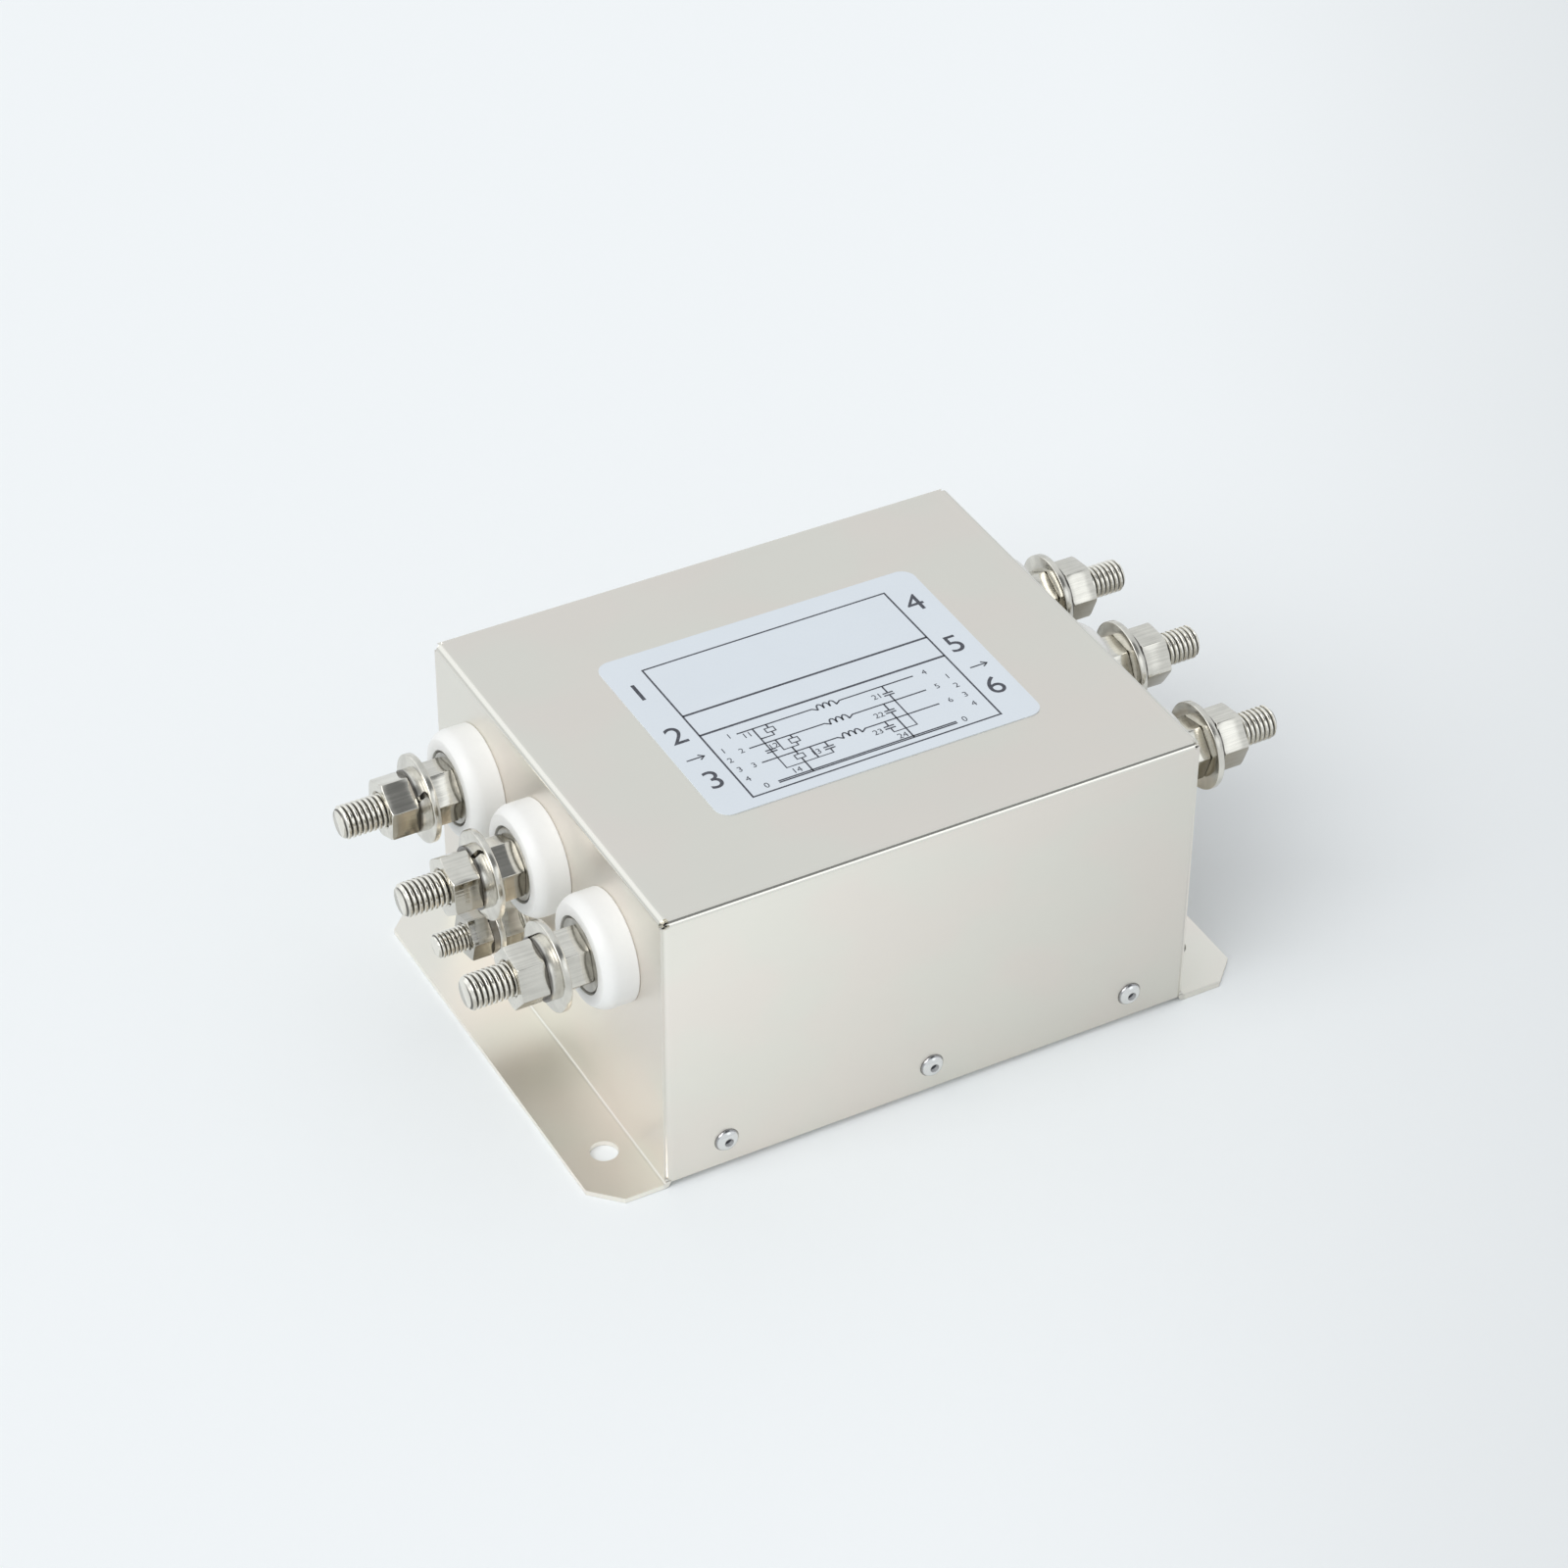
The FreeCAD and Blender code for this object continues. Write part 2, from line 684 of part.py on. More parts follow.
def flat_wire(points, hints):
    """Flat wire with mitred corners; each hint is the way its width lies."""
    sections = []
    last = len(points) - 1
    for k, point in enumerate(points):
        into = (points[k] - points[k - 1]).normalize() if k > 0 else (points[1] - points[0]).normalize()
        away = (points[k + 1] - points[k]).normalize() if k < last else into
        plane = (into + away).normalize()
        across = (hints[k] - into * hints[k].dot(into)).normalize()
        if k > 0 and across.dot(previous) < 0:
            across = across * -1
        previous = across
        through = into.cross(across)
        corners = []
        for a, b in ((-1, -1), (1, -1), (1, 1), (-1, 1)):
            off = across * (a * wire_width / 2) + through * (b * wire_thickness / 2)
            corners.append(point + off - into * (off.dot(plane) / into.dot(plane)))
        sections.append(corners)
    faces = flat_faces(sections[0]) + flat_faces(sections[-1])
    for before, after in zip(sections, sections[1:]):
        for i in range(4):
            j = (i + 1) % 4
            faces += flat_faces([before[i], before[j], after[j], after[i]])
    shell = Part.makeShell(faces)
    shell.sewShape()
    wire = Part.makeSolid(shell)
    if wire.Volume < 0:
        wire.reverse()
    return wire


def flat_faces(corners):
    """One flat face on four corners, or two triangles where they twist."""
    normal = (corners[1] - corners[0]).cross(corners[2] - corners[0]).normalize()
    if abs(normal.dot(corners[3] - corners[0])) < 1e-7:
        return [Part.Face(Part.makePolygon(corners + [corners[0]]))]
    first = Part.Face(Part.makePolygon([corners[0], corners[1], corners[2], corners[0]]))
    second = Part.Face(Part.makePolygon([corners[0], corners[2], corners[3], corners[0]]))
    return [first, second]


def make_choke_mount():
    pad = Part.makeCylinder(coil_outer + pad_margin, pad_thickness, Vec(0, 0, sheet))
    disc = Part.makeCylinder(clamp_disc_diameter / 2, clamp_disc_thickness, Vec(0, 0, clamp_disc_at))
    nut_at = clamp_disc_at + clamp_disc_thickness
    top = nut_at + post_nut_height + post_tail
    hole = Part.makeCylinder(post_diameter / 2 + thread_clearance, top, Vec(0, 0, sheet))
    post = Part.makeCylinder(post_diameter / 2, top - sheet, Vec(0, 0, sheet))
    nut = hex_nut(nut_at, post_nut_height, post_nut_flats, post_diameter + 2 * thread_clearance, 0)
    nut.rotate(Vec(0, 0, 0), Y_AXIS, -90)
    return {"choke_pad": pad.cut(hole), "choke_clamp_disc": disc.cut(hole),
            "choke_post": post, "choke_nut": nut}


def board_holes():
    """Places of the two screws of a board, as seen from the middle of the case."""
    return [side * screw_place for side in (-1, 1)]


def make_board(end):
    x_span = sorted((end * board_edge, end * (board_edge + board_width)))
    board = box(x_span[0], x_span[1], -board_depth / 2, board_depth / 2, board_height, board_top)
    for y in board_holes():
        board = board.cut(Part.makeCylinder(screw_diameter / 2 + thread_clearance, board_thickness,
                                            Vec(end * board_middle, y, board_height)))
    return board


def make_board_fixings():
    posts = []
    screws = []
    for end in (-1, 1):
        for y in board_holes():
            spot = Vec(end * board_middle, y, sheet)
            post = Part.makeCylinder(post_foot_diameter / 2, board_height - sheet, spot)
            hole = Part.makeCylinder(screw_diameter / 2 + thread_clearance, board_height - sheet, spot)
            posts.append(post.cut(hole))
            shank = Part.makeCylinder(screw_diameter / 2, board_top - 2 * sheet, spot + Vec(0, 0, sheet))
            head = Part.makeCylinder(screw_head_diameter / 2, screw_head_height,
                                     Vec(spot.x, spot.y, board_top))
            screws.append(shank.fuse(head).removeSplitter())
    return {"board_posts": posts, "board_screws": screws}


def block_on_board(end, size, y):
    """Moulded component block standing on a board."""
    half_x = size[0] / 2
    block = box(end * board_middle - half_x, end * board_middle + half_x,
                y - size[1] / 2, y + size[1] / 2, board_top, board_top + size[2])
    uprights = [edge for edge in block.Edges if abs(edge.Length - size[2]) < 1e-6]
    return block.makeFillet(1.0, uprights)


def make_resistors():
    # Three discharge resistors side by side between two capacitors.
    resistors = []
    lift = resistor_diameter / 2
    for k in (-1, 0, 1):
        x = -board_middle + k * resistor_pitch
        y = -terminal_pitch / 2
        z = board_top + lift
        start = Vec(x, y - resistor_length / 2, z)
        resistors.append(Part.makeCylinder(lift, resistor_length, start, Y_AXIS))
    return resistors


def save(name, shape):
    shapes = shape if isinstance(shape, list) else [shape]
    solids = [solid for item in shapes for solid in item.Solids]
    result = solids[0] if len(solids) == 1 else Part.makeCompound(solids)
    if not result.isValid():
        raise ValueError(name + " is not a valid shape")
    result.exportStep("parts/" + name + ".step")
    print(name, len(solids), "solid(s)", round(sum(solid.Volume for solid in solids), 1), "mm3")


os.makedirs("parts", exist_ok=True)
save("cover", make_cover())
save("bottom_tray", make_bottom_tray())
save("rivets", make_rivets())
save("label", make_label())
for end_name, side in (("in", -1), ("out", 1)):
    for index in (1, 2, 3):
        tail = "_" + end_name + "_" + str(index)
        save("insulator" + tail, make_insulator(side, index))
        save("terminal_stud" + tail, make_stud(side, index))
        save("x_capacitor" + tail, block_on_board(side, x_capacitor, terminal_place(index)[0]))
    save("earth_bolt_" + end_name, make_earth_bolt(side))
    save("earth_strap_" + end_name, make_earth_strap(side))
    save("board_" + end_name, make_board(side))
    save("y_capacitor_" + end_name, block_on_board(side, y_capacitor, terminal_pitch / 2))
for name, pieces in make_terminal_hardware().items():
    save(name, pieces)
save("inner_bushes", [make_inner_bush(side, index) for side in (-1, 1) for index in (1, 2, 3)])
save("ring_lugs", make_ring_lugs())
for name, pieces in make_earth_hardware().items():
    save(name, pieces)
save("choke_core", make_choke_core())
core_cup, core_lid = make_core_case()
save("core_case_cup", core_cup)
save("core_case_lid", core_lid)
for number in (1, 2, 3):
    save("winding_" + str(number), make_winding(number))
for name, piece in make_choke_mount().items():
    save(name, piece)
for name, pieces in make_board_fixings().items():
    save(name, pieces)
save("discharge_resistors", make_resistors())
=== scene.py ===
import math
import bmesh
import bpy
from mathutils import Euler, Matrix, Vector


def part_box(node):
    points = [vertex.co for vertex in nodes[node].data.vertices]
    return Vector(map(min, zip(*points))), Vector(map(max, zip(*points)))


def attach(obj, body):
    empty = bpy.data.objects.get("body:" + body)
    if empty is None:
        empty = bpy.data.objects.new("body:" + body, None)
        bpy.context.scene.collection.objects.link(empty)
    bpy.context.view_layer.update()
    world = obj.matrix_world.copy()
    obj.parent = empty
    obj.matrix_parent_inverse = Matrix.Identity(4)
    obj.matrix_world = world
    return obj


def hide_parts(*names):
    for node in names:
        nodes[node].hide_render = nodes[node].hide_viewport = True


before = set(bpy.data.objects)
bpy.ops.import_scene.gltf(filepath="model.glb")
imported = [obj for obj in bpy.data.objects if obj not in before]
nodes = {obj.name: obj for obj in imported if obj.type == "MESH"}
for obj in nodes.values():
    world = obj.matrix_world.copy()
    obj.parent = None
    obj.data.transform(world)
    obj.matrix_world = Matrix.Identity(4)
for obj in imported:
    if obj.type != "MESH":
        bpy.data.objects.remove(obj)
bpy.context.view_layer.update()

mm = 0.001
ends = ("in", "out")
scene = bpy.context.scene


def link(thing, name):
    piece = bpy.data.objects.new(name, thing)
    scene.collection.objects.link(piece)
    return piece


# wires shader and geometry nodes: operators on a value add its Math nodes
class Value:
    def __init__(self, graph, socket):
        self.graph = graph
        self.socket = socket

    def maths(self, operation, *values):
        return self.graph.add("ShaderNodeMath", {"operation": operation}, dict(enumerate(values)))

    def __add__(self, other): return self.maths("ADD", self, other)
    def __radd__(self, other): return self.maths("ADD", other, self)
    def __sub__(self, other): return self.maths("SUBTRACT", self, other)
    def __rsub__(self, other): return self.maths("SUBTRACT", other, self)
    def __mul__(self, other): return self.maths("MULTIPLY", self, other)
    def __rmul__(self, other): return self.maths("MULTIPLY", other, self)
    def __truediv__(self, other): return self.maths("DIVIDE", self, other)
    def __rtruediv__(self, other): return self.maths("DIVIDE", other, self)
    def sin(self): return self.maths("SINE", self)
    def cos(self): return self.maths("COSINE", self)
    def abs(self): return self.maths("ABSOLUTE", self)
    def sqrt(self): return self.maths("SQRT", self)
    def round(self): return self.maths("ROUND", self)
    def fraction(self): return self.maths("FRACT", self)
    def least(self, other): return self.maths("MINIMUM", self, other)
    def most(self, other): return self.maths("MAXIMUM", self, other)
    def clamp(self): return self.least(1.0).most(0.0)

    # 0 below low, 1 above high, soft between
    def step(self, low, high):
        part = ((self - low) / (high - low)).clamp()
        return part * part * (3 - 2 * part)


class Graph:
    def __init__(self, tree):
        self.tree = tree

    def feed(self, socket, value):
        if isinstance(value, Value):
            self.tree.links.new(value.socket, socket)
        else:
            socket.default_value = value

    def add(self, kind, settings=None, sockets=None, out=0):
        node = self.tree.nodes.new(kind)
        for key, value in (settings or {}).items():
            setattr(node, key, value)
        for key, value in (sockets or {}).items():
            self.feed(node.inputs[key], value)
        return Value(self, node.outputs[out]) if len(node.outputs) else None

    # another output of the node that made a value
    def also(self, value, out):
        return Value(self, value.socket.node.outputs[out])

    def split(self, vector):
        parts = self.add("ShaderNodeSeparateXYZ", {}, {0: vector})
        return parts, self.also(parts, 1), self.also(parts, 2)

    def join(self, x, y, z):
        return self.add("ShaderNodeCombineXYZ", {}, {0: x, 1: y, 2: z})

    def blend(self, factor, first, second):
        return self.add("ShaderNodeMix", {"data_type": "RGBA"}, {0: factor, 6: first, 7: second}, out=2)

    def scaled(self, vector, size):
        return self.add("ShaderNodeVectorMath", {"operation": "MULTIPLY"}, {0: vector, 1: size})

    def noise(self, vector, scale, detail=3.0):
        return self.add("ShaderNodeTexNoise", {}, {"Vector": vector, "Scale": scale, "Detail": detail,
                                                   "Roughness": 0.55})

    # a number that the geometry carries under this name
    def stored(self, name):
        return self.add("ShaderNodeAttribute", {"attribute_name": name}, {}, out="Fac")


# camera: solved from the box edges in the picture
view = {
    "lens": 102.03, "sensor": 36, "near": 0.01, "far": 50,
    "place": (-0.38676, -0.69534, 0.67140), "turn": (51.9469, -0.2562, -28.4380),
}
cameraData = bpy.data.cameras.new("camera")
cameraData.lens = view["lens"]
cameraData.sensor_width = view["sensor"]
cameraData.clip_start = view["near"]
cameraData.clip_end = view["far"]
camera = link(cameraData, "camera")
camera.location = view["place"]
camera.rotation_euler = Euler([math.radians(a) for a in view["turn"]])
scene.camera = camera
print("camera placed")


# a material from what build puts into looks: colour, rough and, with relief, bump and bumpSize
def shade(name, metal, build, specular=0.5):
    material = bpy.data.materials.new(name)
    material.use_nodes = True
    tree = material.node_tree
    tree.nodes.clear()
    graph = Graph(tree)
    looks = {}
    build(graph, graph.add("ShaderNodeTexCoord", {}, {}, out="Object"), looks)
    sockets = {"Base Color": looks["colour"], "Roughness": looks["rough"], "Metallic": metal,
               "Specular IOR Level": specular}
    if "bump" in looks:
        sockets["Normal"] = graph.add("ShaderNodeBump", {}, {
            "Strength": 1.0, "Distance": looks["bumpSize"], "Height": looks["bump"]})
    surface = graph.add("ShaderNodeBsdfPrincipled", {}, sockets)
    graph.add("ShaderNodeOutputMaterial", {}, {"Surface": surface})
    return material


def tint(colour, factor=1.0):
    return (colour[0] * factor, colour[1] * factor, colour[2] * factor, 1.0)


# satin nickel on rolled sheet; ranges are metres from the middle or up from the floor
caseLook = {
    "colour": (0.785, 0.762, 0.695), "warm": (0.80, 0.752, 0.69), "darkTone": 0.85, "lightTone": 1.16,
    "cloudSize": 24.0, "cloudWear": 0.046, "cloudRough": 0.10,
    "streakSize": 420.0, "streakStretch": (0.04, 1.0, 1.0), "streakWear": 0.023,
    "grainSize": 2600.0, "grainRough": 0.08, "patchSize": 38.0, "patchStretch": (1.0, 1.0, 1.3),
    "rough": 0.33, "bump": 0.000012, "paintedLightUp": 7.5, "paintedLightAlong": 4.1, "paintedLightFrom": 0.030,
    "wallFace": (0.0562, 0.0568), "endFace": (0.0672, 0.0680), "footTop": (0.002, 0.004), "footPaintedLight": 0.42,
    "topFold": (0.0736, 0.0742), "endFold": (0.0656, 0.0662), "wallFold": (0.0556, 0.0562),
    "endFoldTint": 0.90, "wallFoldTint": 1.12, "foldPolish": 0.17, "trayMetal": 0.3,
}


def caseNickelNodes(graph, place, looks):
    s = caseLook
    cloud = graph.noise(place, s["cloudSize"], 2.0)
    streak = graph.noise(graph.scaled(place, s["streakStretch"]), s["streakSize"], 3.0)
    grain = graph.noise(place, s["grainSize"], 2.0)
    patches = graph.noise(graph.scaled(place, s["patchStretch"]), s["patchSize"], 1.0).step(0.35, 0.65)
    x, y, z = graph.split(place)
    beyondEnd = x.abs().step(*s["endFace"])
    wallFold = y.abs().step(*s["wallFold"])
    fold = z.step(*s["topFold"]) * (x.abs().step(*s["endFold"]) * (1 - beyondEnd)).most(wallFold)
    # painted light: the long walls are darker low down and to the right, and the flanges are lighter
    wallPaintedLight = y.abs().step(*s["wallFace"]) * ((z - s["paintedLightFrom"]) * s["paintedLightUp"] - x * s["paintedLightAlong"])
    footPaintedLight = beyondEnd * (1 - z.step(*s["footTop"])) * s["footPaintedLight"]
    worn = (cloud - 0.5) * s["cloudWear"] + (streak - 0.5) * s["streakWear"]
    # the sheet's darker and lighter tones, mixed by real wear and by the painted light of the walls and
    # flanges
    darkTone = graph.blend(patches, tint(s["warm"], s["darkTone"]), tint(s["colour"], s["darkTone"]))
    lightTone = graph.blend(patches, tint(s["warm"], s["lightTone"]), tint(s["colour"], s["lightTone"]))
    sheet = graph.blend((0.5 + worn + wallPaintedLight + footPaintedLight).clamp(), darkTone, lightTone)
    # painted highlight: the top's folds over the long walls are lighter and those over the end walls darker
    # than the sheet
    paintedFoldTone = graph.blend(wallFold, tint(s["colour"], s["endFoldTint"]),
                           tint(s["colour"], s["wallFoldTint"]))
    looks["colour"] = graph.blend(fold, sheet, paintedFoldTone)
    unevenness = (cloud - 0.5) * s["cloudRough"] + (grain - 0.5) * s["grainRough"]
    looks["rough"] = (s["rough"] + unevenness - fold * s["foldPolish"]).clamp()
    looks["bump"] = grain * 0.6 + streak * 0.4
    looks["bumpSize"] = s["bump"]


caseNickel = shade("caseNickel", 1.0, caseNickelNodes)
# the tray has gone matt along its edge
trayNickel = shade("trayNickel", caseLook["trayMetal"], caseNickelNodes)

# bright plate on turned and drawn hardware, with a darker brownish colour painted as shade on faces that
# don't look up
hardwareLook = {
    "colour": (0.745, 0.72, 0.655), "under": (0.30, 0.265, 0.20), "dark": 0.84, "bright": 1.06,
    "shadow": 0.72, "shadowTone": 0.2, "cloudSize": 180.0, "lineSize": 1733.333,
    "lineStretch": (0.03, 1.0, 1.0), "rough": 0.14, "lineRough": 0.16, "cloudRough": 0.10,
    "bump": 0.000022, "earthShadeLevel": 0.72,
}


def drawnNickel(name, level):
    def build(graph, place, looks):
        s = hardwareLook
        lines = graph.noise(graph.scaled(place, s["lineStretch"]), s["lineSize"], 3.0)
        cloud = graph.noise(place, s["cloudSize"], 3.0)
        tone = cloud.step(0.3, 0.7) * 0.5 + lines.step(0.35, 0.65) * 0.5
        plate = graph.blend(tone, tint(s["colour"], s["dark"] * level),
                            tint(s["colour"], s["bright"] * level))
        # painted shade on the faces that don't look up
        shadow = graph.stored("under") * (s["shadow"] + tone * s["shadowTone"])
        looks["colour"] = graph.blend(shadow, plate, tint(s["under"], level))
        unevenness = (lines - 0.5) * s["lineRough"] + (cloud - 0.5) * s["cloudRough"]
        looks["rough"] = (s["rough"] + unevenness).clamp()
        looks["bump"] = lines
        looks["bumpSize"] = s["bump"]
    return shade(name, 1.0, build)


nutNickel = drawnNickel("nutNickel", 1.0)
# painted shade: the earth nuts are darker, as they stand in the shade of the terminals' hardware
earthNickelShaded = drawnNickel("earthNickelShaded", hardwareLook["earthShadeLevel"])

washerLook = {
    "dark": 0.80, "bright": 1.04, "cloudSize": 240.0, "grainSize": 3600.0,
    "rough": 0.20, "grainRough": 0.14, "cloudRough": 0.10, "bump": 0.000008,
}


def washerNickelNodes(graph, place, looks):
    s = washerLook
    cloud = graph.noise(place, s["cloudSize"], 3.0)
    grain = graph.noise(place, s["grainSize"], 2.0)
    plate = hardwareLook["colour"]
    looks["colour"] = graph.blend(cloud.step(0.3, 0.7), tint(plate, s["dark"]), tint(plate, s["bright"]))
    unevenness = (grain - 0.5) * s["grainRough"] + (cloud - 0.5) * s["cloudRough"]
    looks["rough"] = (s["rough"] + unevenness).clamp()
    looks["bump"] = grain
    looks["bumpSize"] = s["bump"]


washerNickel = shade("washerNickel", 1.0, washerNickelNodes)

# the seat washers lie in shade in the insulators' recesses: their darker colour is painted shade
seatLook = {
    "dark": 0.46, "bright": 0.66, "cloudSize": 320.0, "rough": 0.30, "cloudRough": 0.14, "bump": 0.00001,
}


def seatSteelNodes(graph, place, looks):
    s = seatLook
    cloud = graph.noise(place, s["cloudSize"], 3.0)
    plate = hardwareLook["colour"]
    looks["colour"] = graph.blend(cloud.step(0.3, 0.7), tint(plate, s["dark"]), tint(plate, s["bright"]))
    looks["rough"] = (s["rough"] + (cloud - 0.5) * s["cloudRough"]).clamp()
    looks["bump"] = cloud
    looks["bumpSize"] = s["bump"]


seatSteel = shade("seatSteel", 1.0, seatSteelNodes)

threadLook = {
    "dark": 1.05, "bright": 1.25, "root": 0.22, "rootDepth": (0.25, 0.85), "paintedShadeShare": 0.6,
    "cloudSize": 300.0, "rough": 0.17, "rootRough": 0.20, "cloudRough": 0.1, "bump": 0.00001,
}


# painted shade: darker in the thread's root, and the crests partly take the shade colour on faces that
# don't look up; the rod stores how deep each point lies
def threadNickelNodes(graph, place, looks):
    s = threadLook
    plate = hardwareLook["colour"]
    depth = graph.stored("threadDepth")
    cloud = graph.noise(place, s["cloudSize"], 2.0)
    bright = graph.blend(cloud, tint(plate, s["dark"]), tint(plate, s["bright"]))
    crest = graph.blend(graph.stored("under") * s["paintedShadeShare"], bright, tint(hardwareLook["under"]))
    looks["colour"] = graph.blend(depth.step(*s["rootDepth"]), crest, tint(plate, s["root"]))
    looks["rough"] = (s["rough"] + depth * s["rootRough"] + (cloud - 0.5) * s["cloudRough"]).clamp()
    looks["bump"] = cloud
    looks["bumpSize"] = s["bump"]


threadNickel = shade("threadNickel", 1.0, threadNickelNodes)

insulatorLook = {
    "colour": (0.85, 0.855, 0.84), "dark": 0.97, "bright": 1.03, "cloudSize": 90.0, "speckSize": 1400.0,
    "rough": 0.34, "speckRough": 0.12, "bump": 0.00002,
}


def insulatorNodes(graph, place, looks):
    s = insulatorLook
    cloud = graph.noise(place, s["cloudSize"], 3.0)
    speck = graph.noise(place, s["speckSize"], 2.0)
    mix = (cloud * 0.6 + speck * 0.4).clamp()
    looks["colour"] = graph.blend(mix, tint(s["colour"], s["dark"]), tint(s["colour"], s["bright"]))
    looks["rough"] = (s["rough"] + (speck - 0.5) * s["speckRough"]).clamp()
    looks["bump"] = cloud * 0.5 + speck * 0.5
    looks["bumpSize"] = s["bump"]


whiteInsulator = shade("whiteInsulator", 0.0, insulatorNodes)

labelLook = {
    "colour": (0.685, 0.745, 0.805), "dark": 0.98, "bright": 1.02, "cloudSize": 60.0, "weaveSize": 2400.0,
    "rough": 0.42, "weaveRough": 0.12, "bump": 0.00001,
}


def labelFilmNodes(graph, place, looks):
    s = labelLook
    cloud = graph.noise(place, s["cloudSize"], 2.0)
    weave = graph.noise(place, s["weaveSize"], 2.0)
    looks["colour"] = graph.blend(cloud, tint(s["colour"], s["dark"]), tint(s["colour"], s["bright"]))
    looks["rough"] = (s["rough"] + (weave - 0.5) * s["weaveRough"]).clamp()
    looks["bump"] = weave
    looks["bumpSize"] = s["bump"]


labelFilm = shade("labelFilm", 0.0, labelFilmNodes)

inkLook = {
    "colour": (0.04, 0.043, 0.055), "thin": 2.2, "cloudSize": 1500.0, "rough": 0.5, "cloudRough": 0.2,
}


def labelInkNodes(graph, place, looks):
    s = inkLook
    cloud = graph.noise(place, s["cloudSize"], 3.0)
    looks["colour"] = graph.blend(cloud.step(0.35, 0.75), tint(s["colour"]), tint(s["colour"], s["thin"]))
    looks["rough"] = (s["rough"] + (cloud - 0.5) * s["cloudRough"]).clamp()


labelInk = shade("labelInk", 0.0, labelInkNodes)

rivetLook = {
    "spacing": 0.052, "height": 0.008, "pit": (0.00084, 0.0012075), "rim": (0.002511, 0.0027),
    "headColour": (0.77, 0.77, 0.76), "rimShade": (0.40, 0.40, 0.41), "pitShade": (0.09, 0.09, 0.10),
    "cloudSize": 900.0, "rough": 0.15, "pitRough": 0.3, "cloudRough": 0.10, "bump": 0.00002,
}


# painted shade: the hollow of the broken mandrel in the middle of each rivet is dark, and the head is
# darker in a ring at its rim
def rivetNodes(graph, place, looks):
    s = rivetLook
    x, y, z = graph.split(place)
    along = x - (x / s["spacing"]).round() * s["spacing"]
    up = z - s["height"]
    radius = (along * along + up * up).sqrt()
    cloud = graph.noise(place, s["cloudSize"], 2.0)
    pit = 1 - radius.step(*s["pit"])
    head = graph.blend(radius.step(*s["rim"]), tint(s["headColour"]), tint(s["rimShade"]))
    looks["colour"] = graph.blend(pit, head, tint(s["pitShade"]))
    looks["rough"] = (s["rough"] + pit * s["pitRough"] + (cloud - 0.5) * s["cloudRough"]).clamp()
    looks["bump"] = cloud
    looks["bumpSize"] = s["bump"]


rivetMetal = shade("rivetMetal", 1.0, rivetNodes)


mottledLook = {"range": (0.25, 0.75), "fineness": 8, "fineRough": 0.15, "bump": 0.00002}


# a finish for the pieces that keep their own shape
def mottled(name, colour, rough, metal=0.0, scale=200.0, depth=0.08, stretch=(1, 1, 1)):
    def build(graph, place, looks):
        s = mottledLook
        mottle = graph.noise(graph.scaled(place, stretch), scale, 4.0)
        fine = graph.noise(place, scale * s["fineness"], 2.0)
        looks["colour"] = graph.blend(mottle.step(*s["range"]), tint(colour, 1 - depth),
                                      tint(colour, 1 + depth))
        looks["rough"] = (rough + (fine - 0.5) * s["fineRough"]).clamp()
        looks["bump"] = mottle * 0.5 + fine * 0.5
        looks["bumpSize"] = s["bump"]
    return shade(name, metal, build)


print("finishes made")


def plainMesh(piece):
    graph = bpy.context.evaluated_depsgraph_get()
    return bpy.data.meshes.new_from_object(piece.evaluated_get(graph), preserve_all_data_layers=True,
                                           depsgraph=graph)


def smooth(mesh, angle=30):
    mesh.shade_smooth()
    mesh.set_sharp_from_angle(angle=math.radians(angle))


def meshFrom(work, name, angle=30):
    mesh = bpy.data.meshes.new(name)
    work.to_mesh(mesh)
    work.free()
    smooth(mesh, angle)
    return mesh


# the fixed nodes that a piece of this script stands for
standIns = set()


def finish(piece, material, replaced=()):
    piece.data.materials.clear()
    piece.data.materials.append(material)
    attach(piece, "root")
    if replaced:
        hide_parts(*replaced)
        standIns.update(replaced)


# runs a geometry tree on an object and leaves a plain mesh of the result
def bake(piece, tree, values, name):
    modifier = piece.modifiers.new("nodes", "NODES")
    modifier.node_group = tree
    for socket in tree.interface.items_tree:
        if socket.item_type == "SOCKET" and socket.in_out == "INPUT" and socket.name in values:
            modifier[socket.identifier] = values[socket.name]
    mesh = plainMesh(piece)
    piece.modifiers.remove(modifier)
    mesh.name = name
    bpy.data.objects.remove(piece)
    return mesh


def newTree(name, inputs):
    tree = bpy.data.node_groups.new(name, "GeometryNodeTree")
    tree.interface.new_socket("Geometry", in_out="INPUT", socket_type="NodeSocketGeometry")
    for label, kind in inputs:
        tree.interface.new_socket(label, in_out="INPUT", socket_type="NodeSocket" + kind)
    tree.interface.new_socket("Geometry", in_out="OUTPUT", socket_type="NodeSocketGeometry")
    graph = Graph(tree)
    given = tree.nodes.new("NodeGroupInput")
    values = {socket.name: Value(graph, socket) for socket in given.outputs if socket.name}
    return tree, graph, values


def endTree(graph, geometry, material):
    dressed = graph.add("GeometryNodeSetMaterial", {}, {"Geometry": geometry, "Material": material})
    graph.add("NodeGroupOutput", {}, {0: dressed})


# millimetres: the long walls' bends close the corners beside the end walls' cut edges
caseCorner = {
    "foot": 2.0, "relief": 73.3, "endWall": (65.75, 67.1), "cutEdge": 56.1,
    "bendX": 64.2, "bendY": 55.5, "bendRadius": 1.5, "bendStart": 0.9, "bendSide": 0.05, "shift": 1.0,
    "oldFlatEnd": 65.2, "flatEnd": 65.45, "wallFace": 56.95, "flatTop": 73.6, "slack": 0.03,
}


